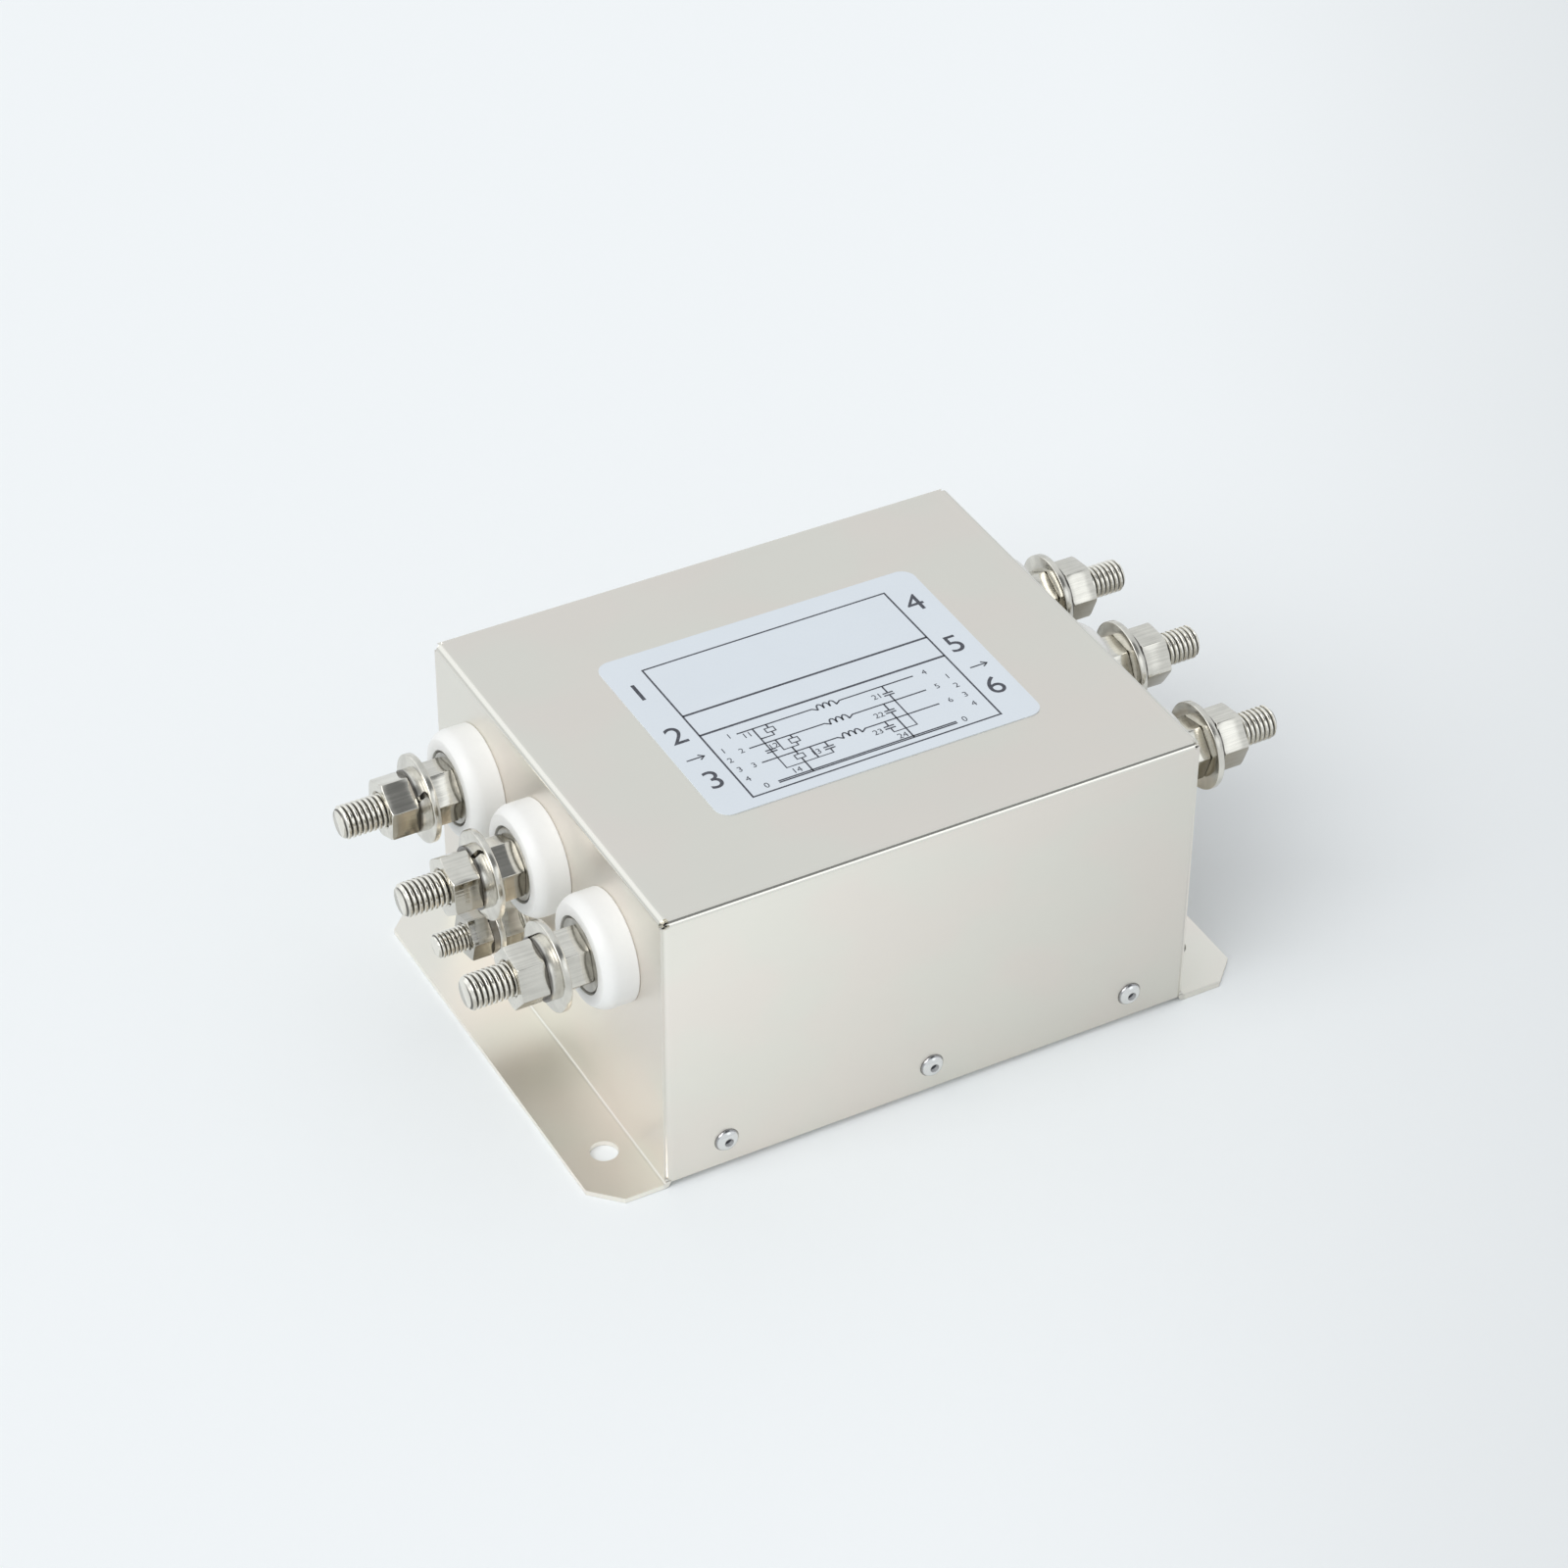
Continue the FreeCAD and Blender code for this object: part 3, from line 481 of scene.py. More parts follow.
def wrapCorners(work):
    s = caseCorner
    everything = work.verts[:] + work.edges[:] + work.faces[:]
    bmesh.ops.bisect_plane(work, geom=everything, plane_co=(0, 0, s["foot"] * mm), plane_no=(0, 0, 1))
    for vert in work.verts:
        x, y, z = abs(vert.co.x) / mm, abs(vert.co.y) / mm, vert.co.z / mm
        endSign, wallSign = math.copysign(mm, vert.co.x), math.copysign(mm, vert.co.y)
        onEndWall = s["endWall"][0] < x < s["endWall"][1] and s["foot"] - s["slack"] < z < s["relief"]
        reach = math.hypot(x - s["bendX"], y - s["bendY"])
        onBend = x > s["bendX"] + s["bendStart"] and y > s["bendY"] + s["bendSide"]
        if onEndWall and y > s["cutEdge"]:
            vert.co.y = s["cutEdge"] * wallSign
        elif onBend and abs(reach - s["bendRadius"]) < s["slack"]:
            vert.co.x = (x + s["shift"]) * endSign
        elif abs(x - s["oldFlatEnd"]) < s["slack"] and y > s["wallFace"] and z < s["flatTop"]:
            vert.co.x = s["flatEnd"] * endSign


# metres and degrees
weld = 1e-6
flatAngle = 0.4


# a copy of a fixed node with its bends shaded smooth
def smoothCopy(node, name, angle=28, change=None):
    work = bmesh.new()
    work.from_mesh(nodes[node].data)
    bmesh.ops.remove_doubles(work, verts=work.verts, dist=weld)
    if change:
        change(work)
        bmesh.ops.remove_doubles(work, verts=work.verts, dist=weld)
        bmesh.ops.dissolve_degenerate(work, dist=weld, edges=work.edges)
    bmesh.ops.dissolve_limit(work, angle_limit=math.radians(flatAngle), verts=work.verts, edges=work.edges)
    bmesh.ops.triangulate(work, faces=[f for f in work.faces if len(f.verts) > 4])
    piece = link(meshFrom(work, name, angle), name + "Draft")
    weigh = piece.modifiers.new("weigh", "WEIGHTED_NORMAL")
    weigh.keep_sharp = True
    weigh.weight = 100
    result = plainMesh(piece)
    bpy.data.objects.remove(piece)
    result.name = name
    return link(result, name)


finish(smoothCopy("cover", "foldedCover", change=wrapCorners), caseNickel, ["cover"])
finish(smoothCopy("bottom_tray", "floorTray"), trayNickel, ["bottom_tray"])
finish(smoothCopy("rivets", "blindRivets", 40), rivetMetal, ["rivets"])
print("case dressed")

# where the terminals and earth bolts stand, read from their nodes; millimetres to an end wall's face
wall = 67.0
studNames = ["terminal_stud_%s_%d" % (end, number) for end in ends for number in (1, 2, 3)]
insulatorNames = ["insulator_%s_%d" % (end, number) for end in ends for number in (1, 2, 3)]
boltNames = ["earth_bolt_" + end for end in ends]


def spotOf(node):
    low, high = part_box(node)
    return (1 if low.x > 0 else -1, (low.y + high.y) / 2, (low.z + high.z) / 2)


terminals = [spotOf(node) for node in studNames]
earths = [spotOf(node) for node in boltNames]

# places a fastener at points: each point holds its side and its turn about X
placeTree, g, v = newTree("placeFasteners", [("Fastener", "Object"), ("Finish", "Material")])
turn = g.add("GeometryNodeInputNamedAttribute", {"data_type": "FLOAT"}, {"Name": "turn"})
half = g.add("GeometryNodeInputNamedAttribute", {"data_type": "FLOAT"}, {"Name": "half"})
made = g.add("GeometryNodeObjectInfo", {"transform_space": "ORIGINAL"}, {"Object": v["Fastener"]},
             out="Geometry")
copies = g.add("GeometryNodeInstanceOnPoints", {}, {"Points": v["Geometry"], "Instance": made,
                                                   "Rotation": g.join(turn, 0.0, half)})
real = g.add("GeometryNodeRealizeInstances", {}, {"Geometry": copies})
# faces that don't look up, nor along the rod, are marked for painted shade
facing = {"up": (0.06, 0.30), "along": (0.6, 0.9)}
nx, ny, nz = g.split(g.add("GeometryNodeInputNormal"))
under = (1 - nz.step(*facing["up"])) * (1 - nx.abs().step(*facing["along"]))
shaded = g.add("GeometryNodeStoreNamedAttribute", {"data_type": "FLOAT", "domain": "FACE"}, {
    "Geometry": real, "Name": "under", "Value": under})
endTree(g, shaded, v["Finish"])


def placeAt(spots, mesh, turns, material, name, replaced):
    points = bpy.data.meshes.new(name + "Points")
    points.from_pydata([(side * wall * mm, y, z) for side, y, z in spots], [], [])
    turnData = points.attributes.new("turn", "FLOAT", "POINT")
    halfData = points.attributes.new("half", "FLOAT", "POINT")
    for k, (side, y, z) in enumerate(spots):
        angle = turns[k] if side > 0 else 180 - turns[k]
        turnData.data[k].value = math.radians(angle)
        halfData.data[k].value = 0.0 if side > 0 else math.pi
    pattern = link(mesh, name + "Pattern")
    result = bake(link(points, name + "Draft"), placeTree, {"Fastener": pattern, "Finish": material}, name)
    bpy.data.objects.remove(pattern)
    for extra in ("turn", "half"):
        if extra in result.attributes:
            result.attributes.remove(result.attributes[extra])
    finish(link(result, name), material, replaced)


# faces between rings of points, from the last one back to the first
def ringMesh(rings, name, angle=30):
    work = bmesh.new()
    rows = [[work.verts.new(p) for p in ring] for ring in rings]
    for first, second in zip(rows, rows[1:] + rows[:1]):
        count = len(first)
        for k in range(count):
            work.faces.new((first[k], first[(k + 1) % count], second[(k + 1) % count], second[k]))
    bmesh.ops.recalc_face_normals(work, faces=work.faces)
    return meshFrom(work, name, angle)


# a turned shape from (along, radius) points in millimetres
def turnedMesh(profile, name, count=96, angle=30):
    rings = []
    for along, radius in profile:
        rings.append([(along * mm, radius * mm * math.cos(math.tau * k / count),
                       radius * mm * math.sin(math.tau * k / count)) for k in range(count)])
    return ringMesh(rings, name, angle=angle)


# a flat ring whose edges are rounded in two steps
def washerMesh(start, thick, outer, inner, name, edge=0.22):
    a, b = start, start + thick
    ri, ro = inner / 2, outer / 2
    soft = edge * 0.3
    profile = [(a + soft, ri), (a, ri + soft), (a, ro - edge), (a + soft, ro - soft), (a + edge, ro),
               (b - edge, ro), (b - soft, ro - soft), (b, ro - edge), (b, ri + soft), (b - soft, ri)]
    return turnedMesh(profile, name, angle=50)


# hexagon with small round corners as (angle, radius) pairs
def hexOutline(flats, corner, side=8, arc=3):
    outline = []
    inset = corner / math.cos(math.pi / 6)
    halfSide = flats / 2 * math.tan(math.pi / 6) - corner * math.tan(math.pi / 6)
    for face in range(6):
        facing = math.radians(60 * face + 30)
        for k in range(side + 1):
            across = -halfSide + 2 * halfSide * k / side
            x = flats / 2 * math.cos(facing) - across * math.sin(facing)
            y = flats / 2 * math.sin(facing) + across * math.cos(facing)
            outline.append((x, y))
        middle = math.radians(60 * face + 60)
        centre = flats / math.sqrt(3) - inset
        for k in range(1, arc + 1):
            angle = facing + math.radians(60) * k / (arc + 1)
            outline.append((centre * math.cos(middle) + corner * math.cos(angle),
                            centre * math.sin(middle) + corner * math.sin(angle)))
    return [(math.atan2(y, x), math.hypot(x, y)) for x, y in outline]


# millimetres, but for the flat face's share of the width; the cone's slope in degrees
nutShape = {
    "corner": 0.25, "face": 0.54, "slope": 30, "sink": 0.45, "soft": 0.14, "smallest": 0.001, "rim": 0.05,
}


# a hexagon whose corners a cone cuts off; without a bore it is a bolt's head
def nutMesh(start, height, flats, bore, name):
    outline = hexOutline(flats, nutShape["corner"])
    face = nutShape["face"] * flats
    slope = math.tan(math.radians(nutShape["slope"]))
    soft = nutShape["soft"]
    sink = nutShape["sink"] if bore else 0.0
    inner = bore / 2 if bore else nutShape["smallest"]

    def depth(r):
        return max(r - face, 0.0) * slope

    rings = []
    for end in (0, 1):
        def ring(radiusOf, depthOf, end=end):
            return [((start + depthOf(r) if end == 0 else start + height - depthOf(r)) * mm,
                     radiusOf(r) * mm * math.cos(a), radiusOf(r) * mm * math.sin(a)) for a, r in outline]
        group = [ring(lambda r: inner, lambda r: sink)]
        if bore:
            group.append(ring(lambda r: inner + sink, lambda r: 0.0))
        group += [ring(lambda r: min(face, r - soft) - nutShape["rim"], lambda r: 0.0),
                  ring(lambda r: r - soft, lambda r: depth(r - soft)),
                  ring(lambda r: r - 0.3 * soft, lambda r: depth(r - 0.3 * soft) + 0.3 * soft),
                  ring(lambda r: r, lambda r: depth(r) + soft)]
        rings += group if end == 0 else group[::-1]
    return ringMesh(rings, name, angle=38)


# shares of a pitch, then of the thread's depth
threadShape = {"rootFlat": 0.10, "flank": 0.50, "lead": 0.25, "shankSink": 0.02}

# threaded rod along X: a grid bent round the axis, its radius set by the helix
rodTree, g, v = newTree("threadedRod", [
    ("Radius", "Float"), ("Pitch", "Float"), ("Depth", "Float"), ("Start", "Float"), ("End", "Float"),
    ("Chamfer", "Float"), ("Root", "Float"), ("Rings", "Int"), ("Sides", "Int"), ("Finish", "Material")])
sheetGrid = g.add("GeometryNodeMeshGrid", {}, {"Size X": 1.0, "Size Y": 1.0, "Vertices X": v["Rings"],
                                               "Vertices Y": v["Sides"] + 1.0})
px, py, pz = g.split(g.add("GeometryNodeInputPosition"))
along = v["Start"] + (v["End"] - v["Start"]) * (px + 0.5)
sweep = (py + 0.5) * math.tau
phase = (along / v["Pitch"] - (py + 0.5) + threadShape["lead"]).fraction()
groove = (1 - ((phase - 0.5).abs() * 2 - threadShape["rootFlat"]) / threadShape["flank"]).clamp()
radius = (v["Radius"] - v["Depth"] * groove).least(v["Radius"] - v["Chamfer"] + (v["End"] - along))
marked = g.add("GeometryNodeStoreNamedAttribute", {"data_type": "FLOAT", "domain": "POINT"}, {
    "Geometry": sheetGrid, "Name": "threadDepth", "Value": groove})
bent = g.add("GeometryNodeSetPosition", {}, {"Geometry": marked, "Position": g.join(
    along, radius * sweep.cos(), radius * sweep.sin())})
tipRadius = v["Radius"] - v["Chamfer"]
tip = g.add("GeometryNodeMeshCircle", {"fill_type": "NGON"}, {"Vertices": v["Sides"], "Radius": tipRadius})
tip = g.add("GeometryNodeTransform", {}, {"Geometry": tip, "Translation": g.join(v["End"], 0.0, 0.0),
                                         "Rotation": (0.0, math.pi / 2, 0.0)})
shank = g.add("GeometryNodeMeshCylinder", {"fill_type": "NGON"}, {
    "Vertices": v["Sides"], "Radius": v["Radius"] - v["Depth"] * threadShape["shankSink"],
    "Depth": v["Start"] - v["Root"]})
shank = g.add("GeometryNodeTransform", {}, {"Geometry": shank, "Rotation": (0.0, math.pi / 2, 0.0),
                                           "Translation": g.join((v["Start"] + v["Root"]) * 0.5, 0.0, 0.0)})
joined = g.tree.nodes.new("GeometryNodeJoinGeometry")
for part in (shank, tip, bent):
    g.tree.links.new(part.socket, joined.inputs[0])
merged = g.add("GeometryNodeMergeByDistance", {}, {"Geometry": Value(g, joined.outputs[0]),
                                                  "Distance": 2 * weld})
endTree(g, g.add("GeometryNodeRealizeInstances", {}, {"Geometry": merged}), v["Finish"])


def rodMesh(name, sizes):
    holder = link(bpy.data.meshes.new(name + "Holder"), name + "Holder")
    mesh = bake(holder, rodTree, sizes, name)
    work = bmesh.new()
    work.from_mesh(mesh)
    bmesh.ops.recalc_face_normals(work, faces=work.faces)
    work.to_mesh(mesh)
    work.free()
    smooth(mesh, 50)
    return mesh


def joinMeshes(meshes, name):
    work = bmesh.new()
    for mesh in meshes:
        work.from_mesh(mesh)
    return meshFrom(work, name, 40)


# millimetres out from the wall's face to where a piece of this thickness starts
def startOf(node, thick):
    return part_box(node)[1].x / mm - wall - thick


# the node gives where a rod starts and ends, its head taken off
def rodSizes(node, rod):
    low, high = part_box(node)
    return {"Radius": rod["radius"] * mm, "Pitch": rod["pitch"] * mm, "Depth": rod["depth"] * mm,
            "Start": rod["start"] * mm, "End": high.x - wall * mm, "Chamfer": rod["chamfer"] * mm,
            "Root": low.x + (rod["head"] - wall) * mm, "Rings": rod["rings"], "Sides": rod["sides"],
            "Finish": threadNickel}


low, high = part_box("terminal_stud_out_1")
studs = {
    "radius": (high.y - low.y) / 2 / mm, "pitch": 1.25, "depth": 0.6, "start": 7.2, "chamfer": 0.9,
    "head": 0.0, "rings": 320, "sides": 44, "turns": (20, 75, 130, 40, 95, 160),
}
studMesh = rodMesh("terminalStud", rodSizes("terminal_stud_out_1", studs))
placeAt(terminals, studMesh, studs["turns"], threadNickel, "terminalStuds", studNames)

earthBolt = {
    "radius": 3.0, "pitch": 1.0, "depth": 0.48, "start": 1.0, "chamfer": 0.7, "head": 4.0, "flats": 10.0,
    "rings": 250, "sides": 36, "turns": (30, 80),
}
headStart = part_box("earth_bolt_out")[0].x / mm - wall
boltParts = [rodMesh("earthBolt", rodSizes("earth_bolt_out", earthBolt)),
             nutMesh(headStart, earthBolt["head"], earthBolt["flats"], 0, "earthHead")]
placeAt(earths, joinMeshes(boltParts, "earthBoltWhole"), earthBolt["turns"], threadNickel, "earthBolts",
        boltNames)
print("studs threaded")

# millimetres; each nut's turn in degrees
nuts = {"height": 6.7, "flats": 13.0, "bore": 8.2}
earthNuts = {"height": 5.0, "flats": 10.0, "bore": 6.2}
nutRows = (
    ("seat_nuts", "seatNuts", nuts, terminals, (49, 36, 15, 28, 2, 48), nutNickel),
    ("clamp_nuts", "clampNuts", nuts, terminals, (36, 22, 10, 52, 1, 51), nutNickel),
    ("earth_seat_nuts", "earthSeatNuts", earthNuts, earths, (50, 50), earthNickelShaded),
    ("earth_clamp_nuts", "earthClampNuts", earthNuts, earths, (46, 46), earthNickelShaded),
)
for node, name, size, spots, turns, finishing in nutRows:
    nut = nutMesh(startOf(node, size["height"]), size["height"], size["flats"], size["bore"], name)
    placeAt(spots, nut, turns, finishing, name, [node])

# thickness, outer and inner diameter
washerRows = (
    ("seat_washers", "seatWashers", 1.6, 17.0, 8.5, terminals, seatSteel),
    ("flat_washers", "flatWashers", 1.6, 21.0, 8.5, terminals, washerNickel),
    ("earth_seat_washers", "earthSeatWashers", 1.4, 12.0, 6.5, earths, washerNickel),
    ("earth_flat_washers", "earthFlatWashers", 1.4, 12.0, 6.5, earths, washerNickel),
)
for node, name, thick, outer, inner, spots, finishing in washerRows:
    washer = washerMesh(startOf(node, thick), thick, outer, inner, name)
    placeAt(spots, washer, (0,) * len(spots), finishing, name, [node])
print("nuts and washers placed")

# millimetres; front is where the rounded shoulder ends
insulator = {
    "front": 11.8, "round": 4.8, "recess": 9.0, "bore": 4.15, "neck": 7.5, "backEdge": 0.2, "lean": 0.25,
    "steps": 8, "count": 128,
}


def insulatorMesh():
    s = insulator
    low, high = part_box("insulator_out_1")
    radius = (high.y - low.y) / 2 / mm
    height, back = high.x / mm - wall, low.x / mm - wall
    floor = startOf("seat_washers", washerRows[0][2])
    fall = radius - s["front"]
    run = math.sqrt(s["round"] ** 2 - (s["round"] - fall) ** 2)
    sweep = math.atan2(run, s["round"] - fall)
    profile = [(back, s["bore"]), (back, s["neck"]), (0.0, s["neck"]), (0.0, radius - s["backEdge"]),
               (s["backEdge"], radius)]
    for k in range(s["steps"] + 1):
        share = k / s["steps"]
        along = height - run + s["round"] * math.sin(sweep * share) - s["lean"] * share
        profile.append((along, radius - s["round"] * (1 - math.cos(sweep * share))))
    # the front's two edges are rounded a little
    profile += [(height - 0.08, s["front"] - 0.12), (height, s["front"] - 0.35),
                (height, s["recess"] + 0.2), (height - 0.06, s["recess"] + 0.06),
                (height - 0.2, s["recess"]), (floor, s["recess"]), (floor, s["bore"])]
    return turnedMesh(profile, "insulatorTurned", s["count"], 38)


placeAt(terminals, insulatorMesh(), (0,) * len(terminals), whiteInsulator, "insulators",
        insulatorNames)
print("insulators placed")

# label: a film with rounded corners, its print a hair above it
labelPlate = {"corner": 3.5, "steps": 12, "ink": 0.03, "printTurn": 0.4}


def roundedPlate(low, high, corner, name):
    work = bmesh.new()
    outline = []
    steps = labelPlate["steps"]
    for cx, cy, first in ((high.x - corner, high.y - corner, 0), (low.x + corner, high.y - corner, 90),
                          (low.x + corner, low.y + corner, 180), (high.x - corner, low.y + corner, 270)):
        for k in range(steps + 1):
            a = math.radians(first + 90 * k / steps)
            outline.append((cx + corner * math.cos(a), cy + corner * math.sin(a)))
    bottom = [work.verts.new((x, y, low.z)) for x, y in outline]
    top = [work.verts.new((x, y, high.z)) for x, y in outline]
    work.faces.new(bottom[::-1])
    work.faces.new(top)
    for k in range(len(outline)):
        n = (k + 1) % len(outline)
        work.faces.new((bottom[k], bottom[n], top[n], top[k]))
    return meshFrom(work, name)


low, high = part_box("label")
inkMiddle = high.z - labelPlate["ink"] * mm / 2
high = Vector((high.x, high.y, high.z - labelPlate["ink"] * mm))
labelMesh = roundedPlate(low, high, labelPlate["corner"] * mm, "ratingLabel")
finish(link(labelMesh, "ratingLabel"), labelFilm, ["label"])

# print strokes follow curves; all in millimetres on the label's plane
strokeTree, g, v = newTree("printStrokes", [("Width", "Float"), ("Thickness", "Float"),
                                            ("Finish", "Material")])
flatCurve = g.add("GeometryNodeSetCurveNormal", {"mode": "Z_UP"}, {"Curve": v["Geometry"]})
nib = g.add("GeometryNodeCurvePrimitiveQuadrilateral", {}, {"Width": v["Width"], "Height": v["Thickness"]})
ink = g.add("GeometryNodeCurveToMesh", {}, {"Curve": flatCurve, "Profile Curve": nib, "Fill Caps": True})
endTree(g, g.add("GeometryNodeRealizeInstances", {}, {"Geometry": ink}), v["Finish"])

# the print sits a little turned on the label
printTurn = Matrix.Rotation(math.radians(labelPlate["printTurn"]), 4, "Z")


def onLabel(x, y):
    spot = printTurn @ Vector((x * mm, y * mm, 0.0))
    return (spot.x, spot.y, inkMiddle)


def strokes(lines, width, name):
    curve = bpy.data.curves.new(name, "CURVE")
    curve.dimensions = "3D"
    for points, closed in lines:
        spline = curve.splines.new("POLY")
        spline.points.add(len(points) - 1)
        for point, (x, y) in zip(spline.points, points):
            point.co = (*onLabel(x, y), 1.0)
        spline.use_cyclic_u = closed
    values = {"Width": width * mm, "Thickness": labelPlate["ink"] * mm, "Finish": labelInk}
    return bake(link(curve, name), strokeTree, values, name)


# a coil's row of tall half rounds
def bumps(x, y, count, radius, tall=2.3, steps=6):
    points = []
    for k in range(count):
        middle = x + radius * (2 * k + 1)
        for step in range(steps + 1):
            a = math.pi - math.pi * step / steps
            points.append((middle + radius * math.cos(a), y + radius * math.sin(a) * tall))
    return points


# millimetres on the label's plane, read from the picture; wires are open lines through points
printLayout = {
    "frame": (-30.0, -27.6, 32.7, 24.7), "rules": (5.2, -2.8), "phases": (-6.1, -12.0, -17.8),
    "lineEnds": (-22.5, 22.5), "earthLines": (-25.8, -25.25),
    "coil": 0.78, "coilCount": 3, "coilDrop": 0.9, "coilLead": 1.2,
    "wires": (
        ((-18.6, -6.1), (-18.6, -22.0), (-6.8, -22.0), (-6.8, -20.6)), ((-6.8, -17.8), (-6.8, -19.4)),
        ((-15.2, -6.1), (-15.2, -7.4)), ((-15.2, -8.9), (-15.2, -10.2), (-18.6, -10.2)),
        ((-16.0, -12.0), (-16.0, -16.0), (-12.3, -16.0), (-12.3, -14.8)), ((-12.3, -12.0), (-12.3, -13.2)),
        ((-14.0, -16.0), (-14.0, -18.9)), ((-14.0, -20.4), (-14.0, -25.8)),
        ((-10.6, -17.8), (-10.6, -22.0)), ((14.4, -6.1), (14.4, -8.6)),
        ((14.4, -9.8), (14.4, -22.0), (8.5, -22.0), (8.5, -20.6)),
        ((8.5, -17.8), (8.5, -19.4)), ((11.5, -12.0), (11.5, -14.4)), ((11.5, -15.6), (11.5, -25.8)),
    ),
    "boxes": ((-15.2, -8.15, 2.2, 1.5), (-12.3, -14.0, 2.2, 1.6), (-14.0, -19.65, 2.2, 1.5)),
    "plates": ((-6.8, -20.0), (14.4, -9.2), (8.5, -20.0), (11.5, -15.0), (-18.6, -15.0)),
    "plateWidth": 2.6, "plateGap": 0.8,
    "arrows": ((-36.8, -9.6), (35.4, -9.6)), "arrowLength": 4.4, "arrowHead": (1.3, 0.9),
    "heavy": 0.62, "light": 0.4, "digitSize": 9.0, "phaseSize": 2.4, "smallSize": 2.5,
    "digitNumbers": (("1", -34.6, 17.4), ("4", 37.0, 17.8), ("2", -34.6, -0.6), ("5", 37.0, -0.2),
                     ("3", -34.6, -18.4), ("6", 37.0, -18.0)),
    "phaseNumbers": (("1", -24.4, -6.1), ("4", 25.4, -6.1), ("2", -24.4, -12.0), ("5", 25.4, -12.0),
                     ("3", -24.4, -17.8), ("6", 25.4, -17.8)),
    "smallNumbers": (("11", -20.6, -7.6), ("12", -17.4, -13.8), ("13", -10.2, -20.2), ("14", -17.0, -23.8),
                     ("21", 11.6, -9.0), ("22", 8.6, -15.2), ("23", 5.4, -20.4), ("24", 9.6, -24.0),
                     ("0", -25.4, -25.4), ("0", 24.6, -25.4),
                     ("1", -28.0, -10.2), ("2", -28.2, -13.9), ("3", -27.9, -17.7), ("4", -27.9, -21.5),
                     ("1", 29.3, -9.9), ("2", 29.4, -13.7), ("3", 29.4, -17.6), ("4", 29.4, -21.4)),
}


# an open line as points and whether it closes, and a closed box from two corners
def line(*points):
    return (points, False)


def box(x0, y0, x1, y1):
    return (((x0, y0), (x1, y0), (x1, y1), (x0, y1)), True)


p = printLayout
x0, y0, x1, y1 = p["frame"]
heavy = [box(x0, y0, x1, y1)] + [line((x0, y), (x1, y)) for y in p["rules"]]

first, last = p["lineEnds"]
reach = p["coil"] * p["coilCount"]
lead = reach + p["coilLead"]
light = []
for y in p["phases"]:
    below = y - p["coilDrop"]
    coil = bumps(-reach, below, p["coilCount"], p["coil"])
    light.append(line((first, y), (-lead, y), (-reach, below), *coil, (reach, below), (lead, y), (last, y)))
light += [line((first, y), (last, y)) for y in p["earthLines"]]
light += [line(*points) for points in p["wires"]]
for x, y, wide, tall in p["boxes"]:
    light.append(box(x - wide / 2, y - tall / 2, x + wide / 2, y + tall / 2))
half, gap = p["plateWidth"] / 2, p["plateGap"] / 2
for x, y in p["plates"]:
    light += [line((x - half, up), (x + half, up)) for up in (y + gap, y - gap)]
for x, y in p["arrows"]:
    tip = x + p["arrowLength"]
    back, rise = p["arrowHead"]
    light += [line((x, y), (tip, y)), line((tip - back, y + rise), (tip, y), (tip - back, y - rise))]


def digitMesh(text, x, y, size):
    letters = bpy.data.curves.new("digit" + text, "FONT")
    letters.body = text
    letters.size = size * mm
    letters.align_x = "CENTER"
    letters.align_y = "CENTER"
    letters.extrude = labelPlate["ink"] * mm / 2
    letters.resolution_u = 6
    draft = link(letters, "digitDraft")
    mesh = plainMesh(draft)
    bpy.data.objects.remove(draft)
    mesh.transform(Matrix.Translation(onLabel(x, y)) @ printTurn)
    return mesh


inkMeshes = [strokes(heavy, p["heavy"], "heavyStrokes"), strokes(light, p["light"], "lightStrokes")]
for numbers in ("digit", "phase", "small"):
    inkMeshes += [digitMesh(text, x, y, p[numbers + "Size"]) for text, x, y in p[numbers + "Numbers"]]
finish(link(joinMeshes(inkMeshes, "labelPrint"), "labelPrint"), labelInk)
print("label printed")

# painted shade: the spring washers' rims towards the clamp nuts are dark, standing in for the shade of the
# gap beside them; gap is in metres from the middle
springLook = {
    "colour": (0.72, 0.70, 0.65), "darkTone": 0.85, "lightTone": 1.1, "dark": (0.13, 0.12, 0.11), "darkShare": 0.9,
    "gap": (0.0846, 0.0851), "cloudSize": 300.0, "rough": 0.24, "cloudRough": 0.15, "bump": 0.00001,
}


def springNodes(graph, place, looks):
    s = springLook
    x, y, z = graph.split(place)
    cloud = graph.noise(place, s["cloudSize"], 3.0)
    bright = graph.blend(cloud.step(0.3, 0.7), tint(s["colour"], s["darkTone"]), tint(s["colour"], s["lightTone"]))
    looks["colour"] = graph.blend(x.abs().step(*s["gap"]) * s["darkShare"], bright, tint(s["dark"]))
    looks["rough"] = (s["rough"] + (cloud - 0.5) * s["cloudRough"]).clamp()
    looks["bump"] = cloud
    looks["bumpSize"] = s["bump"]


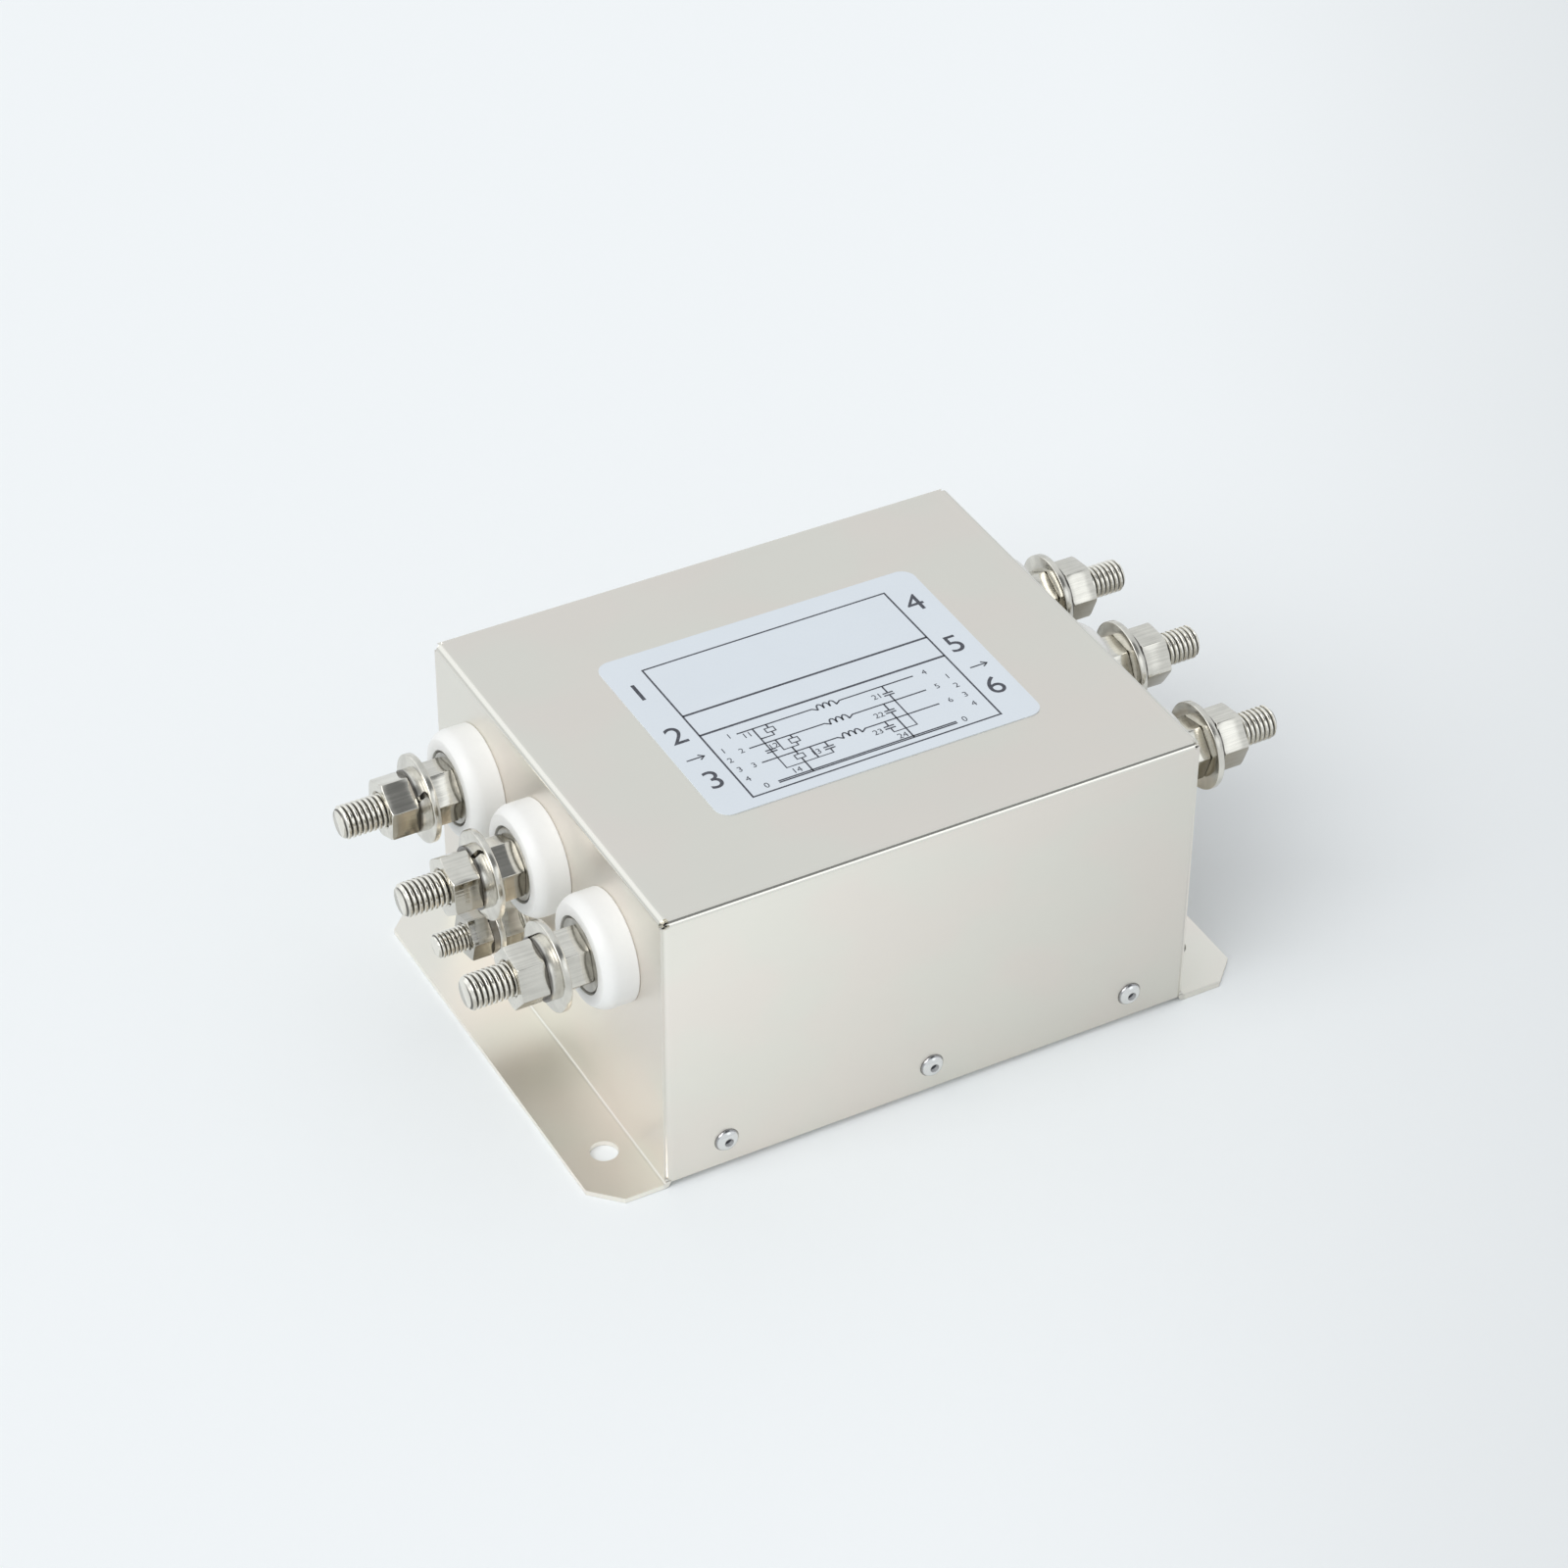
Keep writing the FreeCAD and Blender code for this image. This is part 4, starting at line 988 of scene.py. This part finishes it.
# pieces that keep the fixed node's shape: how its name starts, and its finish
inside = (
    (("ring_lugs",), mottled("tinnedLug", (0.72, 0.73, 0.74), 0.3, 1.0, 300)),
    (("earth_strap",), mottled("copperStrap", (0.78, 0.45, 0.30), 0.3, 1.0, 260)),
    (("winding_",), mottled("lacqueredCopper", (0.66, 0.27, 0.11), 0.25, 0.9, 160)),
    (("choke_core",), mottled("coreAlloy", (0.32, 0.32, 0.33), 0.4, 0.8, 120)),
    (("core_case",), mottled("coreCase", (0.05, 0.05, 0.055), 0.45, 0.0, 240, 0.15)),
    (("choke_pad",), mottled("rubberPad", (0.03, 0.03, 0.03), 0.8, 0.0, 340, 0.2)),
    (("choke_clamp",), mottled("clampLaminate", (0.30, 0.20, 0.11), 0.5, 0.0, 200, 0.15, (1, 6, 1))),
    (("choke_post", "choke_nut", "board_screws", "inner_nuts"),
     mottled("zincPlate", (0.70, 0.70, 0.71), 0.28, 1.0, 300)),
    (("board_posts",), mottled("turnedBrass", (0.80, 0.62, 0.30), 0.25, 1.0, 300)),
    (("board_in", "board_out"), mottled("boardResist", (0.03, 0.17, 0.07), 0.35, 0.0, 420, 0.12)),
    (("x_capacitor",), mottled("yellowCase", (0.78, 0.50, 0.06), 0.4, 0.0, 300, 0.06)),
    (("y_capacitor",), mottled("blueCase", (0.05, 0.17, 0.45), 0.4, 0.0, 300, 0.06)),
    (("discharge",), mottled("resistorLacquer", (0.42, 0.52, 0.60), 0.45, 0.0, 400)),
    (("spring_washers",), shade("springSteel", 1.0, springNodes)),
    (("earth_spring",), mottled("earthSpring", (0.30, 0.28, 0.25), 0.24, 1.0, 300, 0.12)),
    (("inner_washers",), washerNickel),
    (("inner_bushes",), whiteInsulator),
)
for name, piece in nodes.items():
    if name in standIns:
        continue
    for starts, material in inside:
        if name.startswith(starts):
            for slot in piece.material_slots:
                slot.material = material
            break
    else:
        print("no finish for", name)
print("inner pieces finished")

# floor, sky and one soft lamp
stage = {
    "floor": (0.875, 0.912, 0.935), "floorSize": 40, "floorDepth": -0.0001, "floorRough": 0.9,
    "fall": 0.86, "fallRange": (0.04, 0.30), "fallSlope": 0.7, "fallCloud": 0.1, "cloudSize": 2.2,
    "sky": (0.872, 0.906, 0.932), "fill": 0.70, "mirrorSky": 0.91,
    "sunPower": 1.35, "sunAngle": 50, "sunFrom": (-0.68, -0.22, 0.70),
}
# what metal sees in the sky: towards, edge and core as cosines, brightness
mirrorSpots = (
    ((-0.40, 0.66, 0.62), 0.77, 0.97, 1.42),
    ((0.28, -0.42, 0.86), 0.90, 0.965, 0.24),
    ((0.38, -0.76, 0.50), 0.935, 0.97, 1.42),
)
bpy.ops.mesh.primitive_plane_add(size=stage["floorSize"], location=(0, 0, stage["floorDepth"]))
floor = bpy.context.object
floor.name = "floor"


# painted shade: the floor's colour darkens to the right and towards the camera, as the light falls off
# there
def floorNodes(graph, place, looks):
    cloud = graph.noise(place, stage["cloudSize"], 2.0)
    x, y, z = graph.split(place)
    across = x - y * stage["fallSlope"] + (cloud - 0.5) * stage["fallCloud"]
    fall = across.step(*stage["fallRange"])
    looks["colour"] = graph.blend(fall, tint(stage["floor"]), tint(stage["floor"], stage["fall"]))
    looks["rough"] = stage["floorRough"]


floor.data.materials.append(shade("floorPaper", 0.0, floorNodes, specular=0.1))

world = bpy.data.worlds.new("studio")
scene.world = world
world.use_nodes = True
world.node_tree.nodes.clear()
g = Graph(world.node_tree)
path = g.add("ShaderNodeLightPath", {}, {}, out="Is Camera Ray")
glossy = g.also(path, "Is Glossy Ray")
dx, dy, dz = g.split(g.add("ShaderNodeTexCoord", {}, {}, out="Generated"))
mirror = stage["mirrorSky"]
for toward, edge, core, bright in mirrorSpots:
    part = (dx * toward[0] + dy * toward[1] + dz * toward[2]).step(edge, core)
    mirror = mirror + part * (bright - mirror)
level = path + (1 - path) * (glossy * mirror + (1 - glossy) * stage["fill"])
tone = g.blend(path.most(glossy), (1.0, 1.0, 1.0, 1.0), tint(stage["sky"]))
lit = g.add("ShaderNodeBackground", {}, {"Color": tone, "Strength": level})
g.add("ShaderNodeOutputWorld", {}, {"Surface": lit})

sunData = bpy.data.lights.new("softLamp", "SUN")
sunData.energy = stage["sunPower"]
sunData.angle = math.radians(stage["sunAngle"])
sun = link(sunData, "softLamp")
sun.rotation_euler = Vector(stage["sunFrom"]).to_track_quat("Z", "Y").to_euler()
scene.view_settings.view_transform = "Standard"
print("stage set")
